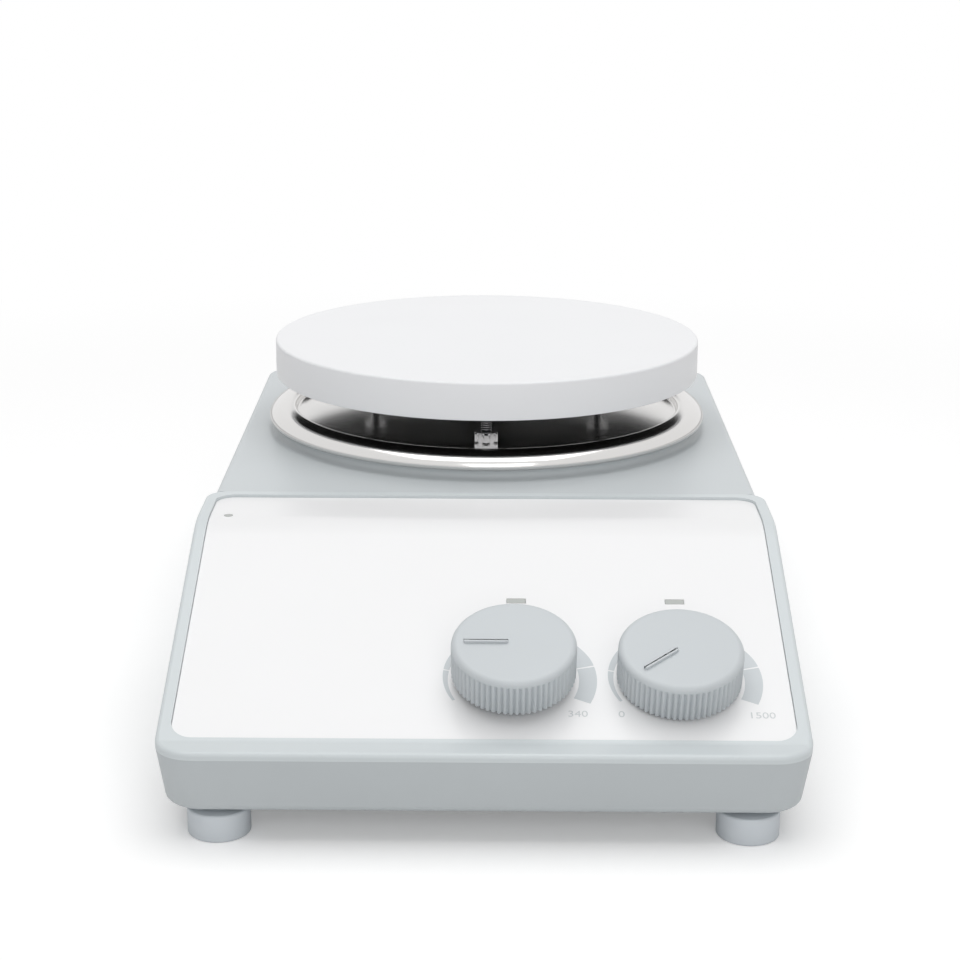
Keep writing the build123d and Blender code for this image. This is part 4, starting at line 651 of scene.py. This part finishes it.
def scale_shape():
    """Crescents that widen clockwise, with narrow gaps between them."""
    shape = bmesh.new()
    whole_sweep = scale_start - scale_end
    part_sweep = whole_sweep / scale_parts
    for part in range(scale_parts):
        first = scale_start - part * part_sweep - (scale_gap / 2 if part else 0)
        last = scale_start - (part + 1) * part_sweep + (scale_gap / 2 if part < scale_parts - 1 else 0)
        inner, outer = [], []
        for step in range(scale_steps + 1):
            angle = first + (last - first) * step / scale_steps
            growth = min((scale_start - angle) / whole_sweep * scale_growth, 1.0)
            width = scale_narrow + (scale_wide - scale_narrow) * growth
            direction = Vector((cos(radians(angle)), sin(radians(angle)), 0))
            inner.append(shape.verts.new(direction * scale_inner))
            outer.append(shape.verts.new(direction * (scale_inner + width)))
        for step in range(scale_steps):
            shape.faces.new((inner[step], inner[step + 1], outer[step + 1], outer[step]))
    lifted = bmesh.ops.extrude_face_region(shape, geom=shape.faces[:])["geom"]
    raised = [v for v in lifted if isinstance(v, bmesh.types.BMVert)]
    bmesh.ops.translate(shape, vec=(0, 0, print_thickness), verts=raised)
    return shape


def digits_shape(name, digits):
    """Plain digits as a thin print, made from a text that is then taken away."""
    curve = bpy.data.curves.new(name, "FONT")
    curve.body = digits
    curve.size = number_height * number_size_share
    curve.align_x = "CENTER"
    curve.extrude = print_thickness / 2
    text = bpy.data.objects.new(name, curve)
    bpy.context.scene.collection.objects.link(text)
    bpy.context.view_layer.update()
    shape = bmesh.new()
    shape.from_mesh(text.evaluated_get(bpy.context.evaluated_depsgraph_get()).to_mesh())
    bpy.data.objects.remove(text)
    return shape


# Printed scales round the knobs, and plain numbers at their ends
for name, knob in knobs.items():
    place = panel_place(knob["x"], control_s, -panel_sink)
    finished(f"{name}_scale", scale_shape(), place, print_ink, "housing", "panel_white", angle=20.0)
widened = Matrix.Diagonal((number_widening, 1.0, 1.0, 1.0))
for name, digits, x, s in numbers:
    place = panel_place(x, s, -panel_sink + print_thickness / 2) @ widened
    finished(name, digits_shape(name, digits), place, number_ink, "housing", "panel_white", angle=20.0)


def pale_floor():
    """Pale, white to the camera where no shadow falls, and plain white to it away from the object."""
    material, nodes, links, shader = node_tree("pale_floor", (0.89, 0.89, 0.89), 0.9)
    shader.inputs["Specular IOR Level"].default_value = 0.0
    rays = nodes.new("ShaderNodeLightPath")

    glow_seen = nodes.new("ShaderNodeMath")
    glow_seen.operation = "MULTIPLY"
    glow_seen.inputs[1].default_value = floor_glow_near
    glow = nodes.new("ShaderNodeEmission")
    near = nodes.new("ShaderNodeAddShader")
    links.new(rays.outputs["Is Camera Ray"], glow_seen.inputs[0])
    links.new(glow_seen.outputs["Value"], glow.inputs["Strength"])
    links.new(shader.outputs["BSDF"], near.inputs[0])
    links.new(glow.outputs["Emission"], near.inputs[1])

    place = nodes.new("ShaderNodeTexCoord")
    reach = nodes.new("ShaderNodeVectorMath")
    reach.operation = "LENGTH"
    fade = nodes.new("ShaderNodeMapRange")
    fade.interpolation_type = "SMOOTHSTEP"
    fade.inputs["From Min"].default_value = floor_fade_start
    fade.inputs["From Max"].default_value = floor_fade_end
    fade_seen = nodes.new("ShaderNodeMath")
    fade_seen.operation = "MULTIPLY"
    white = nodes.new("ShaderNodeEmission")
    near_or_white = nodes.new("ShaderNodeMixShader")
    links.new(place.outputs["Object"], reach.inputs[0])
    links.new(reach.outputs["Value"], fade.inputs["Value"])
    links.new(fade.outputs["Result"], fade_seen.inputs[0])
    links.new(rays.outputs["Is Camera Ray"], fade_seen.inputs[1])
    links.new(fade_seen.outputs["Value"], near_or_white.inputs["Fac"])
    links.new(near.outputs["Shader"], near_or_white.inputs[1])
    links.new(white.outputs["Emission"], near_or_white.inputs[2])
    links.new(near_or_white.outputs["Shader"], nodes["Material Output"].inputs["Surface"])
    return material


def studio_world():
    """Plain light on the object, but white to the camera, in reflections and through glass."""
    world = bpy.data.worlds.new("studio")
    world.use_nodes = True
    nodes = world.node_tree.nodes
    links = world.node_tree.links
    background = nodes["Background"]
    background.inputs["Color"].default_value = (1.0, 1.0, 1.0, 1.0)
    rays = nodes.new("ShaderNodeLightPath")
    camera_or_glossy = nodes.new("ShaderNodeMath")
    camera_or_glossy.operation = "MAXIMUM"
    any_of_three = nodes.new("ShaderNodeMath")
    any_of_three.operation = "MAXIMUM"
    strength = nodes.new("ShaderNodeMapRange")
    strength.inputs["To Min"].default_value = world_light
    strength.inputs["To Max"].default_value = 1.0
    links.new(rays.outputs["Is Camera Ray"], camera_or_glossy.inputs[0])
    links.new(rays.outputs["Is Glossy Ray"], camera_or_glossy.inputs[1])
    links.new(camera_or_glossy.outputs["Value"], any_of_three.inputs[0])
    links.new(rays.outputs["Is Transmission Ray"], any_of_three.inputs[1])
    links.new(any_of_three.outputs["Value"], strength.inputs["Value"])
    links.new(strength.outputs["Result"], background.inputs["Strength"])
    return world


# Floor and world
bpy.ops.mesh.primitive_plane_add(size=floor_size, location=(0, 0, 0))
floor = bpy.context.object
floor.name = "floor"
floor.data.materials.append(pale_floor())
bpy.context.scene.world = studio_world()

# Soft boxes: a large one overhead, and one low at the front
for box in soft_boxes:
    lamp = bpy.data.lights.new(box["name"], "AREA")
    lamp.size = box["side"]
    lamp.energy = box["power"]
    holder = bpy.data.objects.new(box["name"], lamp)
    holder.location = box["place"]
    holder.rotation_euler = (Vector(box["place"]) - lamp_aim).to_track_quat("Z", "Y").to_euler()
    bpy.context.scene.collection.objects.link(holder)

# Camera: place and turn from a fit of the object's edges
camera_data = bpy.data.cameras.new("photo_camera")
camera_data.sensor_width = 36.0
camera_data.lens = camera_lens
camera_data.clip_start = 0.05
camera_data.clip_end = 60.0
camera = bpy.data.objects.new("photo_camera", camera_data)
camera_turn = (
    Matrix.Rotation(camera_pan, 4, "Z")
    @ Matrix.Rotation(pi / 2 - camera_dip, 4, "X")
    @ Matrix.Rotation(camera_roll, 4, "Z")
)
camera.matrix_world = Matrix.Translation(camera_place) @ camera_turn
bpy.context.scene.collection.objects.link(camera)
bpy.context.scene.camera = camera
bpy.context.scene.view_settings.view_transform = "Standard"
